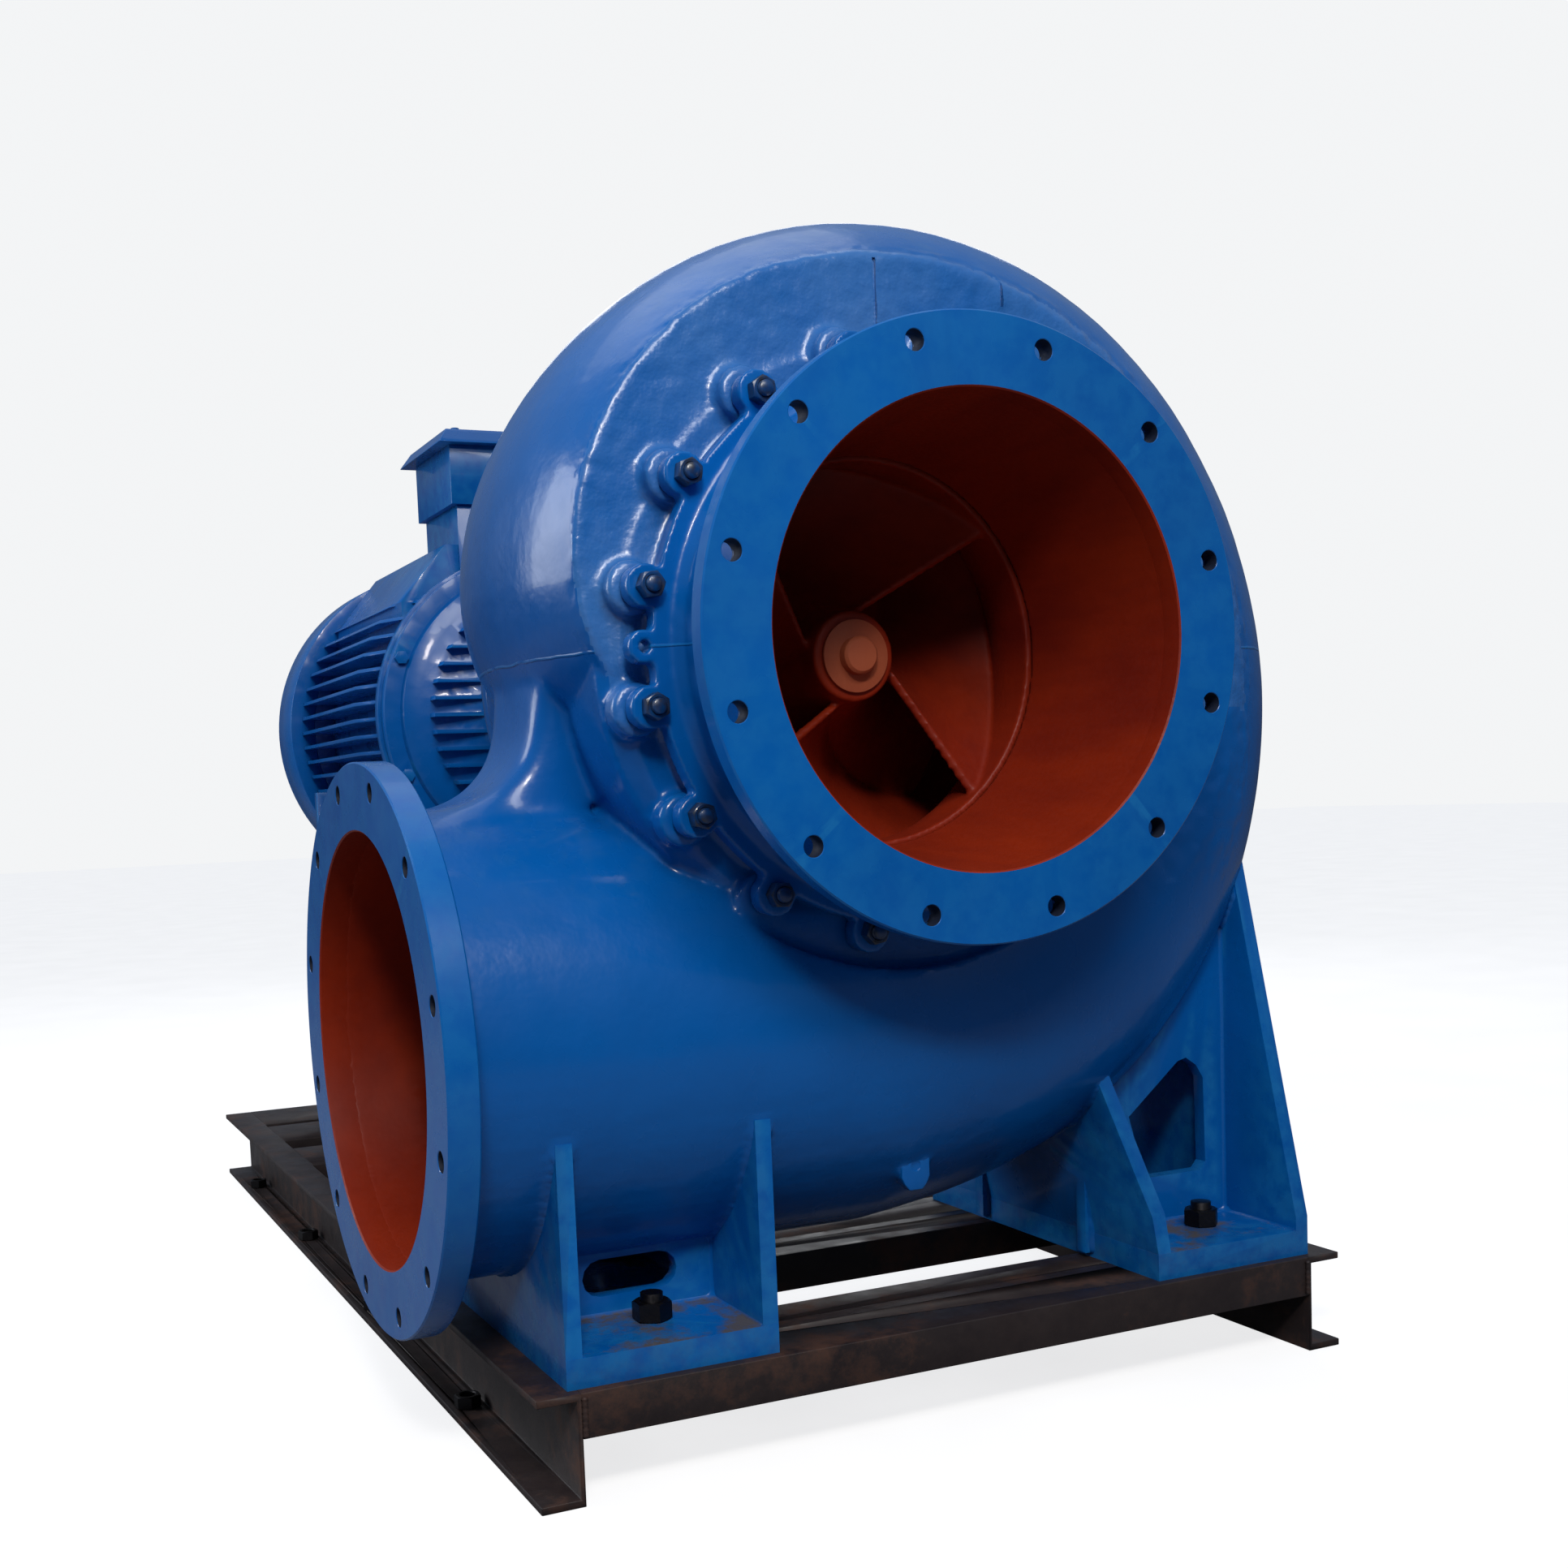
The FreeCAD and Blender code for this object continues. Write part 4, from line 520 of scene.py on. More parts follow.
def flange(name, mount, axis, thick, hub, fillet, taper):
    """A machined pipe flange with broken edges and a small fillet onto the pipe behind it."""
    bevel = FLANGE_CHAMFER
    bore = FLANGE_BORE - 0.4 * MM
    deep = thick + fillet
    profile = [
        (0, bore + bevel), (0, FLANGE_RADIUS - bevel), (bevel, FLANGE_RADIUS),
        (thick - bevel, FLANGE_RADIUS), (thick, FLANGE_RADIUS - bevel), (thick, hub + fillet),
    ]
    for step in range(1, 6):
        angle = math.radians(90 * step / 5)
        profile.append((thick + fillet * (1 - math.cos(angle)), hub + fillet * (1 - math.sin(angle))))
    profile += [(deep, bore - taper * deep + 1.5 * MM), (thick - bevel, bore - taper * thick), (bevel, bore)]
    bm = revolve(bmesh.new(), profile, mount["pos_m"], axis, 240)
    obj = new_object(name, bm)
    inward = Vector(mount["axis"]) * -1
    along = Vector((0, 0, 1)).cross(inward)
    spots = list(flange_holes(mount, along, Vector((0, 0, 1))))
    drill(obj, spots, axis, mount["dims"]["hole_r_mm"] * MM, thick, 0.8 * MM)
    shade(obj)
    paint(obj, MATERIALS["plain_blue"], MATERIALS["primer"], MATERIALS["hole"])
    centre = Vector(mount["pos_m"])
    # Faces in the bore take the primer; the bolt holes' walls take near-black paint, which is painted shade.
    for polygon in obj.data.polygons:
        offset = polygon.center - centre
        away = (offset - offset.project(inward)).length
        if away < FLANGE_BORE + 0.3 * bevel:
            polygon.material_index = 1
        elif away < FLANGE_RADIUS - 5 * MM and away > hub + fillet and abs(polygon.normal.dot(inward)) < 0.1:
            polygon.material_index = 2
    return obj


def spread(ends, mask, blocked):
    """Spreads a mask of vertices along edges, never through blocked ones."""
    one, other = ends[~blocked[ends].any(axis=1)].T
    while True:
        grown = mask.copy()
        grown[one[mask[other]]] = True
        grown[other[mask[one]]] = True
        if grown.sum() == mask.sum():
            return grown
        mask = grown


def ripple(points, size, height, seed):
    """A gentle random height at each point, from the position alone."""
    shift = Vector((seed * 3.1, seed * 5.7, seed * 1.3))
    return np.array([noise.noise(Vector(point) / size + shift) for point in points]) * height


def normals(mesh):
    flat = np.empty(len(mesh.vertices) * 3)
    mesh.vertices.foreach_get("normal", flat)
    return flat.reshape(-1, 3)


def polar(points):
    """Distances from the shaft, and each point's place measured from shaft, volute and floor."""
    x, y, z = (points - (SHAFT_X, VOLUTE_Y, 0)).T
    return np.hypot(x, z - SHAFT_Z), x, y, z


def melt(mesh, rounds, weight):
    """Plain smoothing, which fills inside corners and rounds off outside ones."""
    points = coordinates(mesh)
    ends = edge_ends(mesh)
    one = np.concatenate([ends[:, 0], ends[:, 1]])
    other = np.concatenate([ends[:, 1], ends[:, 0]])
    count = len(points)
    neighbours = np.maximum(np.bincount(one, minlength=count), 1)[:, None]
    for step in range(rounds):
        total = [np.bincount(one, weights=points[other, axis], minlength=count) for axis in range(3)]
        middle = np.stack(total, axis=1) / neighbours
        points = points + 0.6 * weight[:, None] * (middle - points)
    set_coordinates(mesh, points)


def scratch(obj, name, boxes):
    """Cuts narrow marks, each a box between two corners, into a casting's skin."""
    cutter = bmesh.new()
    for low, high in boxes:
        middle = (Vector(low) + Vector(high)) / 2
        size = Vector(high) - Vector(low)
        place = Matrix.Translation(middle) @ Matrix.Diagonal((*size, 1))
        bmesh.ops.create_cube(cutter, size=1, matrix=place)
    tool = new_object(name, cutter)
    boolean = obj.modifiers.new("Marks", "BOOLEAN")
    boolean.operation = "DIFFERENCE"
    boolean.solver = "EXACT"
    boolean.object = tool
    apply_modifiers(obj)
    bpy.data.objects.remove(tool)


def prism(bm, place, points, depth):
    """A straight prism: (across, up) points in a placed plane, carried along its normal."""
    near = [bm.verts.new(place @ Vector((across, up, 0))) for across, up in points]
    far = [bm.verts.new(place @ Vector((across, up, depth))) for across, up in points]
    count = len(points)
    for index in range(count):
        after = (index + 1) % count
        bm.faces.new((near[index], near[after], far[after], far[index]))
    bm.faces.new(near[::-1])
    bm.faces.new(far)


ACROSS_X = Matrix(((0, 0, 1, 0), (1, 0, 0, 0), (0, 1, 0, 0), (0, 0, 0, 1)))
ACROSS_Y = Matrix(((1, 0, 0, 0), (0, 0, -1, 0), (0, 1, 0, 0), (0, 0, 0, 1)))
SPARE = 0.5 * MM


def foot_space():
    """A mesh just outside the feet's plates, ribs and webs, which runs on into the spiral."""
    bm = bmesh.new()
    origin = Matrix.Translation((SHAFT_X, VOLUTE_Y, SHAFT_Z))
    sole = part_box("pump_beams")[1].z
    for x0, x1 in FEET:
        size = Vector((x1 - x0 + 2 * SPARE, 2 * FOOT_HALF + 2 * SPARE, FOOT_TOP - sole + 2 * SPARE))
        middle = Vector((SHAFT_X + (x0 + x1) / 2, VOLUTE_Y, (FOOT_TOP + sole) / 2))
        bmesh.ops.create_cube(bm, size=1, matrix=Matrix.Translation(middle) @ Matrix.Diagonal((*size, 1)))
    for x, tilt, half in RIBS:
        points = half + [(-y, z) for y, z in reversed(half)]
        points = [(y * (1 + SPARE), z - SHAFT_Z) for y, z in points]
        place = origin @ Matrix.Translation((x, 0, 0)) @ ACROSS_X
        place = place @ Matrix.Rotation(math.radians(tilt), 4, "X") @ Matrix.Translation((0, 0, -SPARE))
        prism(bm, place, points, RIB_THICK + 2 * SPARE)
    for points in WEBS:
        for back in (-128 * MM, 150 * MM):
            place = origin @ Matrix.Translation((0, back + SPARE, 0)) @ ACROSS_Y
            prism(bm, place, [(x, z - SHAFT_Z) for x, z in points], RIB_THICK + 2 * SPARE)
    bmesh.ops.recalc_face_normals(bm, faces=bm.faces[:])
    return new_object("foot_space", bm)


FOOT_HALF = 305 * MM
RIB_THICK = 22 * MM
FEET = ((-0.522, -0.232), (0.374, 0.649))
RIBS = (
    (-0.522, 0, [(-0.305, 0.150), (-0.303, 0.446)]),
    (-0.254, 0, [(-0.305, 0.150), (-0.303, 0.446)]),
    (0.241, -8.8, [(-0.305, 0.140), (-0.303, 0.225), (-0.205, 0.455)]),
    (0.627, 0, [(-0.305, 0.150), (-0.305, 0.200), (-0.172, 0.742)]),
)
WEBS = (
    [(-0.510, 0.150), (-0.244, 0.150), (-0.244, 0.300), (-0.510, 0.300)],
    [(0.362, 0.150), (0.638, 0.150), (0.638, 0.690), (0.362, 0.470)],
)


def crisp_feet():
    """The feet as the CAD has them, with sharp edges broken; they run into the casting's skin."""
    obj = new_object("casing_feet", welded_copy("volute_casing"))
    tool = foot_space()
    boolean = obj.modifiers.new("Feet", "BOOLEAN")
    boolean.operation = "INTERSECT"
    boolean.solver = "EXACT"
    boolean.use_self = True
    boolean.object = tool
    apply_modifiers(obj)
    bpy.data.objects.remove(tool)
    bm = bmesh.new()
    bm.from_mesh(obj.data)
    bmesh.ops.remove_doubles(bm, verts=bm.verts, dist=0.05 * MM)
    bmesh.ops.dissolve_limit(bm, angle_limit=math.radians(0.5), verts=bm.verts, edges=bm.edges)
    bm.to_mesh(obj.data)
    bm.free()
    bevel = obj.modifiers.new("Break", "BEVEL")
    bevel.width = 2.5 * MM
    bevel.segments = 3
    bevel.limit_method = "ANGLE"
    bevel.angle_limit = math.radians(35)
    bevel.harden_normals = True
    obj.data.shade_smooth()
    paint(obj, MATERIALS["cast_blue"])
    return finish_piece(obj, "base")


def sink_under(obj, crisp, depth):
    """Moves a skin inwards wherever it lies along a crisp piece's surface."""
    bm = bmesh.new()
    bm.from_mesh(crisp.data)
    tree = BVHTree.FromBMesh(bm)
    points = coordinates(obj.data)
    facing = normals(obj.data)
    for index in np.nonzero(points[:, 2] < 0.78)[0]:
        spot, normal, _, gap = tree.find_nearest(Vector(points[index]), 3.5 * MM)
        if spot is not None and normal.dot(Vector(facing[index])) > 0.6:
            points[index] -= facing[index] * depth
    bm.free()
    set_coordinates(obj.data, points)


def bury_inside(crisp, skin, outside, depth):
    """Moves a crisp piece's surface into the metal wherever it lies along the water passage."""
    bm = bmesh.new()
    bm.from_mesh(skin.data)
    tree = BVHTree.FromBMesh(bm)
    points = coordinates(crisp.data)
    for index in range(len(points)):
        _, normal, face, _ = tree.find_nearest(Vector(points[index]), 12 * MM)
        if face is not None and not outside[list(skin.data.polygons[face].vertices)].any():
            points[index] -= np.array(normal) * depth
    bm.free()
    set_coordinates(crisp.data, points)


def casing():
    """The casting, made from the CAD solid with blended corners and a rough front."""
    cut_x = DISCHARGE_X + DISCHARGE_THICK - 7 * MM
    bm = split_off(welded_copy("volute_casing"), Vector((cut_x, 0, 0)), Vector((1, 0, 0)))
    obj = cast_copy("casing", bm, 6 * MM, 3)

    radius, x, y, z = polar(coordinates(obj.data))
    away = smooth_step(radius, 0.43, 0.46) * smooth_step(z, 0.46, 0.58) * (abs(y) < 0.32)
    relax(obj.data, 9, away)
    beside = smooth_step(-x, 0.36, 0.42) * (1 - smooth_step(-x, 0.60, 0.64))
    tongue = beside * smooth_step(z, 0.76, 0.82) * (1 - smooth_step(z, 1.06, 1.14))
    melt(obj.data, 60, tongue * smooth_step(radius, 0.43, 0.46))
    crease = (x > -0.42) * (x < 0.3) * smooth_step(radius, 0.432, 0.46) * (1 - smooth_step(radius, 0.60, 0.64))
    front = (y < -0.16) * smooth_step(SHAFT_Z - z, 0.05, 0.16) * smooth_step(z, 0.5, 0.6)
    melt(obj.data, 25, crease * front)

    points = coordinates(obj.data)
    radius, x, y, z = polar(points)
    above_pipe = (x > -0.1) | (z > 0.94)
    sand = (y < -0.230) & (radius > 0.43) & (z > 0.70) & above_pipe
    lift = ripple(points, 0.11, 0.9 * MM, 1) * (radius > 0.43)
    lift[sand] += ripple(points[sand], 0.020, 1.7 * MM, 2) + ripple(points[sand], 0.009, 0.8 * MM, 3)
    steady = (z > 0.24) & (points[:, 0] > cut_x + 0.02)
    set_coordinates(obj.data, points + normals(obj.data) * (lift * steady)[:, None])
    feet = crisp_feet()
    sink_under(obj, feet, 2.5 * MM)
    lighten(obj, 0.45)

    marks = [
        ((SHAFT_X - 10 * MM, VOLUTE_Y - 0.257, 1.462), (SHAFT_X - 5 * MM, VOLUTE_Y - 0.242, 1.548)),
        ((SHAFT_X + 187 * MM, VOLUTE_Y - 0.262, 1.500), (SHAFT_X + 192 * MM, VOLUTE_Y - 0.240, 1.540)),
    ]
    scratch(obj, "marks", marks)

    points = coordinates(obj.data)
    radius, x, y, z = polar(points)
    front_mouth = (abs(radius - 0.320) < 5 * MM) & (y < -0.225) & (y > -0.274)
    back_mouth = (abs(radius - 0.340) < 5 * MM) & (y > 0.208) & (y < 0.252)
    pipe = points[:, 0] < cut_x + 5 * MM
    seed = np.zeros(len(points), bool)
    seed[np.argmax(z)] = True
    outside = spread(edge_ends(obj.data), seed, front_mouth | back_mouth | pipe)
    bury_inside(feet, obj, outside, 9 * MM)
    ragged = z + ripple(points, 0.06, 0.07, 4) > 0.93
    rough = outside & (y < -0.236) & (radius > 0.335) & ragged
    paint(obj, MATERIALS["cast_blue"], MATERIALS["primer"], MATERIALS["rough_blue"])
    for polygon in obj.data.polygons:
        corners = list(polygon.vertices)
        if not outside[corners].any():
            polygon.material_index = 1
        elif rough[corners].all():
            polygon.material_index = 2
    obj.data.shade_smooth()
    obj.data.set_sharp_from_angle(angle=math.radians(60))
    return finish_piece(obj, "base", ["volute_casing"])


def drain_lug():
    """The drain's pointed lug on the front of the spiral, with crisp edges and its hole."""
    front, back = VOLUTE_Y - 249.5 * MM, VOLUTE_Y - 230 * MM
    half, tall, tip = 22 * MM, 75 * MM, 10 * MM
    centre, top = SHAFT_X + 12 * MM, 386 * MM
    outline = [
        (-half, 0), (-half, -tall + 18 * MM), (-half + 5 * MM, -tall + 8 * MM), (-tip, -tall),
        (tip, -tall), (half - 5 * MM, -tall + 8 * MM), (half, -tall + 18 * MM), (half, 0),
    ]
    bm = bmesh.new()
    near = [bm.verts.new((centre + across, front, top + up)) for across, up in outline]
    far = [bm.verts.new((centre + across, back, top + up)) for across, up in outline]
    for index in range(len(near)):
        after = (index + 1) % len(near)
        bm.faces.new((near[index], near[after], far[after], far[index]))
    bm.faces.new(near[::-1])
    bm.faces.new(far)
    bmesh.ops.recalc_face_normals(bm, faces=bm.faces[:])
    bmesh.ops.bevel(bm, geom=bm.edges[:], offset=2 * MM, segments=3, profile=0.5, affect="EDGES")
    obj = new_object("drain_lug", bm)
    drill(obj, [Vector((centre, front, top - 41 * MM))], "+Y", 7 * MM, 18 * MM, 0.8 * MM)
    shade(obj)
    paint(obj, MATERIALS["plain_blue"])
    finish_piece(obj, "base")


def suction_cover():
    """The cover's cast part, from the CAD solid behind the flange's front."""
    cut_y = SUCTION_Y + SUCTION_THICK - 6 * MM
    bm = split_off(welded_copy("suction_cover"), Vector((0, cut_y, 0)), Vector((0, 1, 0)))
    obj = cast_copy("suction_cover_cast", bm, 4 * MM, 3)
    lighten(obj, 0.6)
    points = coordinates(obj.data)
    x, y, z = (points - (SHAFT_X, VOLUTE_Y, SHAFT_Z)).T
    radius = np.hypot(x, z)
    bore = radius < 0.297
    paint(obj, MATERIALS["cast_blue"], MATERIALS["primer"])
    for polygon in obj.data.polygons:
        if bore[list(polygon.vertices)].all():
            polygon.material_index = 1
    obj.data.shade_smooth()
    finish_piece(obj, "base", ["suction_cover"])


def flanges():
    suction = flange("suction_flange", MOUNTS["suction_flange"], "+Y", SUCTION_THICK, 328 * MM, 9 * MM, 0.097)
    finish_piece(suction, "base")
    outlet = flange("discharge_flange", MOUNTS["discharge_flange"], "+X", DISCHARGE_THICK, PIPE_RADIUS, 10 * MM, 0)
    finish_piece(outlet, "base")


def impeller():
    obj = cast_copy("impeller_cast", welded_copy("impeller"), 4 * MM, 5)
    lighten(obj, 0.6)
    paint(obj, MATERIALS["primer"])
    obj.data.shade_smooth()
    finish_piece(obj, "pump_spindle", ["impeller"])


# ---------------------------------------------------------------- fasteners


def hexagon_ring(bm, place, radius_at, height_at, count=48):
    ring = []
    for index in range(count):
        angle = 2 * math.pi * index / count
        across = radius_at(angle)
        ring.append(bm.verts.new(place @ Vector((across * math.cos(angle), across * math.sin(angle), height_at(across)))))
    return ring


def bridge(bm, rings):
    for first, second in zip(rings, rings[1:]):
        count = len(first)
        for index in range(count):
            after = (index + 1) % count
            bm.faces.new((first[index], first[after], second[after], second[index]))


def add_nut(bm, spot, axis, flats, height, bore, turn=0.0):
    """A hexagon with both ends chamfered, open in the middle if it has a bore."""
    place = Matrix.Translation(spot) @ frame_for(axis) @ Matrix.Rotation(turn, 4, "Z")
    half = flats / 2
    slope = math.tan(math.radians(30))

    def outline(angle):
        beyond = (angle + math.pi / 6) % (math.pi / 3) - math.pi / 6
        return half / math.cos(beyond)

    def inner(angle):
        return half * 0.95

    low = hexagon_ring(bm, place, inner, lambda across: 0)
    low_edge = hexagon_ring(bm, place, outline, lambda across: (across - half * 0.95) * slope)
    high_edge = hexagon_ring(bm, place, outline, lambda across: height - (across - half * 0.95) * slope)
    high = hexagon_ring(bm, place, inner, lambda across: height)
    rings = [low, low_edge, high_edge, high]
    if bore:
        step = bore * 0.12
        rings.append(hexagon_ring(bm, place, lambda angle: bore + step, lambda across: height))
        rings.append(hexagon_ring(bm, place, lambda angle: bore, lambda across: height - step))
        rings.append(hexagon_ring(bm, place, lambda angle: bore, lambda across: step))
        rings.append(hexagon_ring(bm, place, lambda angle: bore + step, lambda across: 0))
        rings.append(low)
        bridge(bm, rings)
    else:
        bridge(bm, rings)
        bm.faces.new(high)
        bm.faces.new(low[::-1])


def add_stud(bm, start, axis, radius, length, threaded, pitch=2.5 * MM):
    """A round bar whose far end is threaded and slightly domed."""
    profile = [(0, 0), (0, radius)]
    height = max(length - threaded, pitch)
    while height < length - 2 * pitch:
        profile.append((height, radius * 0.995))
        profile.append((height + pitch / 2, radius * 0.90))
        height += pitch
    profile += [(height, radius * 0.99), (length - radius * 0.22, radius * 0.90), (length - radius * 0.05, radius * 0.62)]
    profile.append((length, 0))
    revolve(bm, profile, start, axis, 24)


def box_middle(low, high, axis, side):
    """The middle of a box's end face across an axis: side 0 is the low end."""
    middle = (low + high) / 2
    middle["XYZ".index(axis)] = (low, high)[side]["XYZ".index(axis)]
    return middle


def nuts(node, axis, material, body, flats, bore):
    """Chamfered nuts in place of a node's plain ones, each turned a little differently."""
    bm = bmesh.new()
    letter = axis[1]
    for number, (low, high) in enumerate(islands(node)):
        height = (high - low)["XYZ".index(letter)]
        spot = box_middle(low, high, letter, 0 if axis[0] == "+" else 1)
        add_nut(bm, spot, axis, flats, height, bore, math.radians(37 * number % 60))
    obj = shade(new_object(node + "_detailed", bm), 30)
    paint(obj, MATERIALS[material])
    return finish_piece(obj, body, [node])


def studs(node, axis, material, body, threaded):
    bm = bmesh.new()
    letter = axis[1]
    index = "XYZ".index(letter)
    for low, high in islands(node):
        size = high - low
        radius = min(size[i] for i in range(3) if i != index) / 2
        add_stud(bm, box_middle(low, high, letter, 0 if axis[0] == "+" else 1), axis, radius, size[index], threaded)
    obj = shade(new_object(node + "_detailed", bm), 30)
    paint(obj, MATERIALS[material])
    return finish_piece(obj, body, [node])


def fasteners():
    nuts("cover_nuts", "-Y", "dark_blue", "base", 30 * MM, 10 * MM)
    studs("cover_studs", "-Y", "dark_blue", "base", 34 * MM)
    nuts("back_nuts", "+Y", "dark_blue", "base", 30 * MM, 10 * MM)
    studs("back_studs", "+Y", "dark_blue", "base", 34 * MM)
    nuts("gland_nuts", "+Y", "black_oxide", "gland_follower", 24 * MM, 8.05 * MM)
    studs("gland_studs", "+Y", "turned", "base", 60 * MM)
    nuts("coupling_nuts", "+Y", "black_oxide", "motor_spindle", 30 * MM, 10 * MM)
    nuts("anchor_nuts", "+Z", "black_oxide", "base", 34 * MM, 11 * MM)
    nuts("foot_nuts", "+Z", "black_oxide", "base", 46 * MM, 15 * MM)
    nuts("bearing_cover_screws", "+Y", "black_oxide", "base", 19 * MM, 0)
    nuts("lid_screws", "+Z", "plain_blue", "base", 16 * MM, 0)


def add_bead(bm, start, end, radius, step=4 * MM):
    """A weld bead along an inside corner: a rounded ridge with a ripple at each step."""
    start, end = Vector(start), Vector(end)
    run = (end - start).normalized()
    turn = run.to_track_quat("Z", "Y").to_matrix().to_4x4()
    count = max(int((end - start).length / step), 2)
    rings = []
    for index in range(count * 2 + 1):
        share = index / (count * 2)
        wave = 1.0 if index % 2 else 0.82
        sway = 0.10 * math.sin(index * 1.7) + 0.06 * math.sin(index * 0.61)
        size = radius * (wave + sway)
        if index in (0, count * 2):
            size *= 0.45
        centre = start.lerp(end, share)
        ring = []
        for corner in range(10):
            angle = 2 * math.pi * corner / 10
            spot = turn @ Vector((size * math.cos(angle), size * math.sin(angle), 0))
            ring.append(bm.verts.new(centre + spot))
        rings.append(ring)
    bridge(bm, rings)
    bm.faces.new(rings[0][::-1])
    bm.faces.new(rings[-1])


def weld_beads():
    """Beads where the cross beams meet the rails' webs, and where the stool meets its beams."""
    bm = bmesh.new()
    left_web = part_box("rail_left")[1].x
    right_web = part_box("rail_right")[0].x
    for node in ("pump_beams", "motor_beams"):
        for low, high in islands(node):
            for x in (low.x, high.x):
                inward = 3 * MM if x < 0 else -3 * MM
                for y in (low.y, high.y):
                    outward = -2 * MM if y == low.y else 2 * MM
                    add_bead(bm, (x + inward, y + outward, high.z - 55 * MM), (x + inward, y + outward, high.z - 4 * MM), 4 * MM)
    low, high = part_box("motor_pedestal")
    for x in (low.x, high.x):
        outward = -2 * MM if x == low.x else 2 * MM
        for beam_low, beam_high in islands("motor_beams"):
            first, last = max(beam_low.y, low.y), min(beam_high.y, high.y)
            if last - first > 20 * MM:
                add_bead(bm, (x + outward, first + 5 * MM, low.z + 2 * MM), (x + outward, last - 5 * MM, low.z + 2 * MM), 4 * MM)
    obj = new_object("weld_beads", bm)
    bm = bmesh.new()
    bm.from_mesh(obj.data)
    bmesh.ops.recalc_face_normals(bm, faces=bm.faces[:])
    bm.to_mesh(obj.data)
    bm.free()
    obj.data.shade_smooth()
    paint(obj, MATERIALS["skid"])
    finish_piece(obj, "base")


# ---------------------------------------------------------------- CAD pieces that stay

KEPT = {
    "plain_blue": [
        "bearing_housing", "front_bearing_cover", "rear_bearing_cover", "back_cover", "motor_frame",
        "motor_front_shield", "motor_rear_shield", "shield_bolts", "fan_cowl", "terminal_box", "terminal_lid",
    ],
    "turned": [
        "impeller_key", "pump_shaft", "shaft_sleeve", "pump_bearing_outer_races", "pump_bearing_inner_races",
        "pump_bearing_rollers", "coupling_pins", "pump_coupling_key", "motor_coupling_key",
        "motor_bearing_outer_races", "motor_bearing_inner_races", "motor_bearing_rollers", "motor_shaft",
    ],
    "cast_grey": ["gland", "pump_coupling_half", "motor_coupling_half"],
    "bronze": ["wear_ring", "lantern_ring", "cable_gland"],
    "nut_primer": ["impeller_nut"],
    "skid": ["rail_left", "rail_right", "pump_beams", "motor_beams", "motor_pedestal"],
    "black_oxide": ["motor_bolts", "foot_bolts"],
    "core": ["stator_core", "motor_rotor"],
    "copper": ["stator_windings"],
    "plastic": ["motor_fan"],
    "rubber": ["coupling_bushes"],
    "fibre": ["casing_gasket"],
    "graphite": ["packing_rings"],
}
NO_SOFTENING = ("pump_bearing_rollers", "motor_bearing_rollers", "coupling_bushes", "packing_rings", "casing_gasket")


def kept_nodes():
    for material, names in KEPT.items():
        for name in names:
            if name in NO_SOFTENING:
                NODES[name].data.shade_smooth()
                NODES[name].data.set_sharp_from_angle(angle=math.radians(35))
            else:
                soften(name)
            paint(NODES[name], MATERIALS[material])


# ---------------------------------------------------------------- stage


def area_light(name, place, target, size, power, colour=(1, 1, 1)):
    data = bpy.data.lights.new(name, "AREA")
    data.shape = "RECTANGLE"
    data.size, data.size_y = size
    data.energy = power
    data.color = colour
    light = link(bpy.data.objects.new(name, data))
    light.location = place
    light.rotation_euler = (Vector(target) - Vector(place)).to_track_quat("-Z", "Y").to_euler()


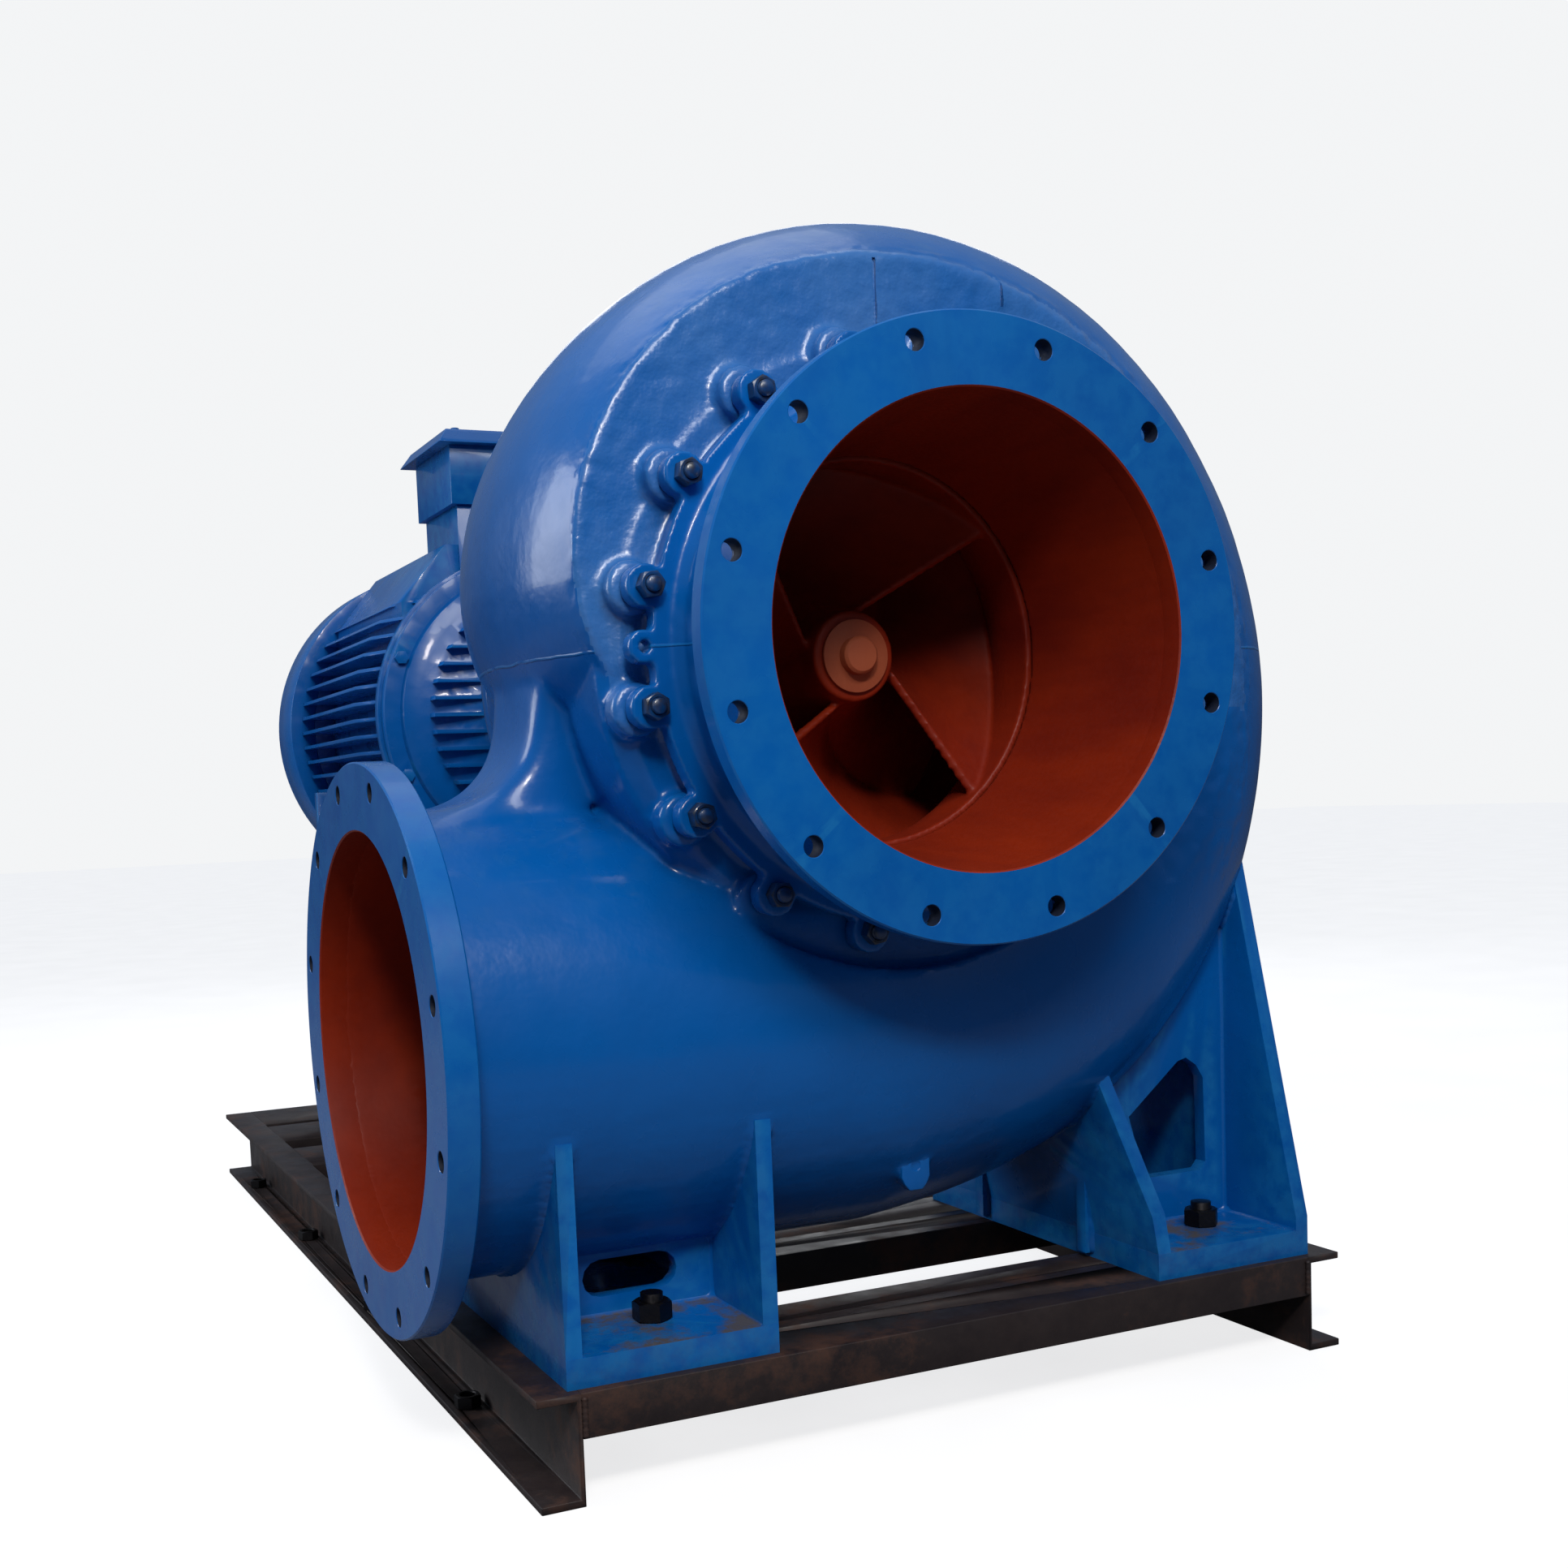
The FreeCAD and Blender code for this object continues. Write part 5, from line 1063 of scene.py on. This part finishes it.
def stage():
    bm = bmesh.new()
    bmesh.ops.create_grid(bm, x_segments=2, y_segments=2, size=30)
    floor = new_object("floor", bm)
    shader = Shader("floor")
    tint = shader.between(shader.noise(3, 4), 0.3, 0.7)
    pale = shader.mix(tint, rgb(0.90, 0.90, 0.91), rgb(0.94, 0.94, 0.95))
    direct = shader.node("ShaderNodeLightPath").outputs["Is Camera Ray"]
    bounced = shader.mix(direct, rgb(0.20, 0.20, 0.21), rgb(0.32, 0.32, 0.32))
    shader.set(Base_Color=bounced, Roughness=0.8, Specular_IOR_Level=0.0, Emission_Color=pale)
    shader.set(Emission_Strength=shader.math("MULTIPLY", direct, 0.86))
    paint(floor, shader.material)

    world = bpy.data.worlds.new("studio")
    bpy.context.scene.world = world
    world.use_nodes = True
    tree = world.node_tree
    background = tree.nodes["Background"]
    coordinate = tree.nodes.new("ShaderNodeTexCoord")
    split = tree.nodes.new("ShaderNodeSeparateXYZ")
    ramp = tree.nodes.new("ShaderNodeValToRGB")
    tree.links.new(coordinate.outputs["Generated"], split.inputs[0])
    tree.links.new(split.outputs["Z"], ramp.inputs[0])
    stops = ramp.color_ramp.elements
    stops[0].position, stops[0].color = 0.0, rgb(0.05, 0.05, 0.06)
    stops[1].position, stops[1].color = 0.70, rgb(0.27, 0.33, 0.41)
    middle = stops.new(0.12)
    middle.color = rgb(0.10, 0.12, 0.15)
    seen = tree.nodes.new("ShaderNodeMix")
    seen.data_type = "RGBA"
    rays = tree.nodes.new("ShaderNodeLightPath")
    tree.links.new(rays.outputs["Is Camera Ray"], seen.inputs["Factor"])
    tree.links.new(ramp.outputs[0], seen.inputs[6])
    seen.inputs[7].default_value = rgb(0.90, 0.91, 0.92)
    tree.links.new(seen.outputs[2], background.inputs["Color"])
    background.inputs["Strength"].default_value = 1.0

    aim = (SHAFT_X, VOLUTE_Y + 0.2, 0.8)
    area_light("key", (-1.2, -5.2, 5.0), aim, (3.2, 1.5), 185, (1.0, 0.99, 0.97))
    area_light("rim", (-5.0, 2.1, 2.8), aim, (2.2, 3.2), 150, (0.95, 0.98, 1.0))
    area_light("top", (0.0, 0.8, 5.0), aim, (3.5, 3.5), 28, (0.95, 0.98, 1.0))
    area_light("back", (2.5, 4.2, 3.0), aim, (3.0, 2.0), 60)
    bore_aim = (SHAFT_X + 0.14, VOLUTE_Y - 0.1, SHAFT_Z - 0.25)
    area_light("bore", (-1.6, -3.8, 2.9), bore_aim, (0.4, 0.4), 46, (1.0, 0.93, 0.85))


CAMERA_FROM_SHAFT = Vector((-1.195, -2.279, 0.858))
CAMERA_YAW, CAMERA_PITCH, CAMERA_ROLL = 24.08, -4.73, -2.34


def camera():
    data = bpy.data.cameras.new("camera")
    data.sensor_width = 36
    data.lens = 40.11
    data.shift_x = 0.05
    data.shift_y = 0.10
    obj = link(bpy.data.objects.new("camera", data))
    obj.location = Vector((SHAFT_X, VOLUTE_Y, 0)) + CAMERA_FROM_SHAFT
    yaw, pitch = math.radians(CAMERA_YAW), math.radians(CAMERA_PITCH)
    ahead = Vector((math.sin(yaw) * math.cos(pitch), math.cos(yaw) * math.cos(pitch), math.sin(pitch)))
    level = ahead.to_track_quat("-Z", "Y")
    obj.rotation_mode = "QUATERNION"
    obj.rotation_quaternion = level @ Euler((0, 0, math.radians(CAMERA_ROLL))).to_quaternion()
    bpy.context.scene.camera = obj
    bpy.context.scene.view_settings.view_transform = "Standard"


casing()
drain_lug()
suction_cover()
flanges()
impeller()
fasteners()
weld_beads()
kept_nodes()
stage()
camera()
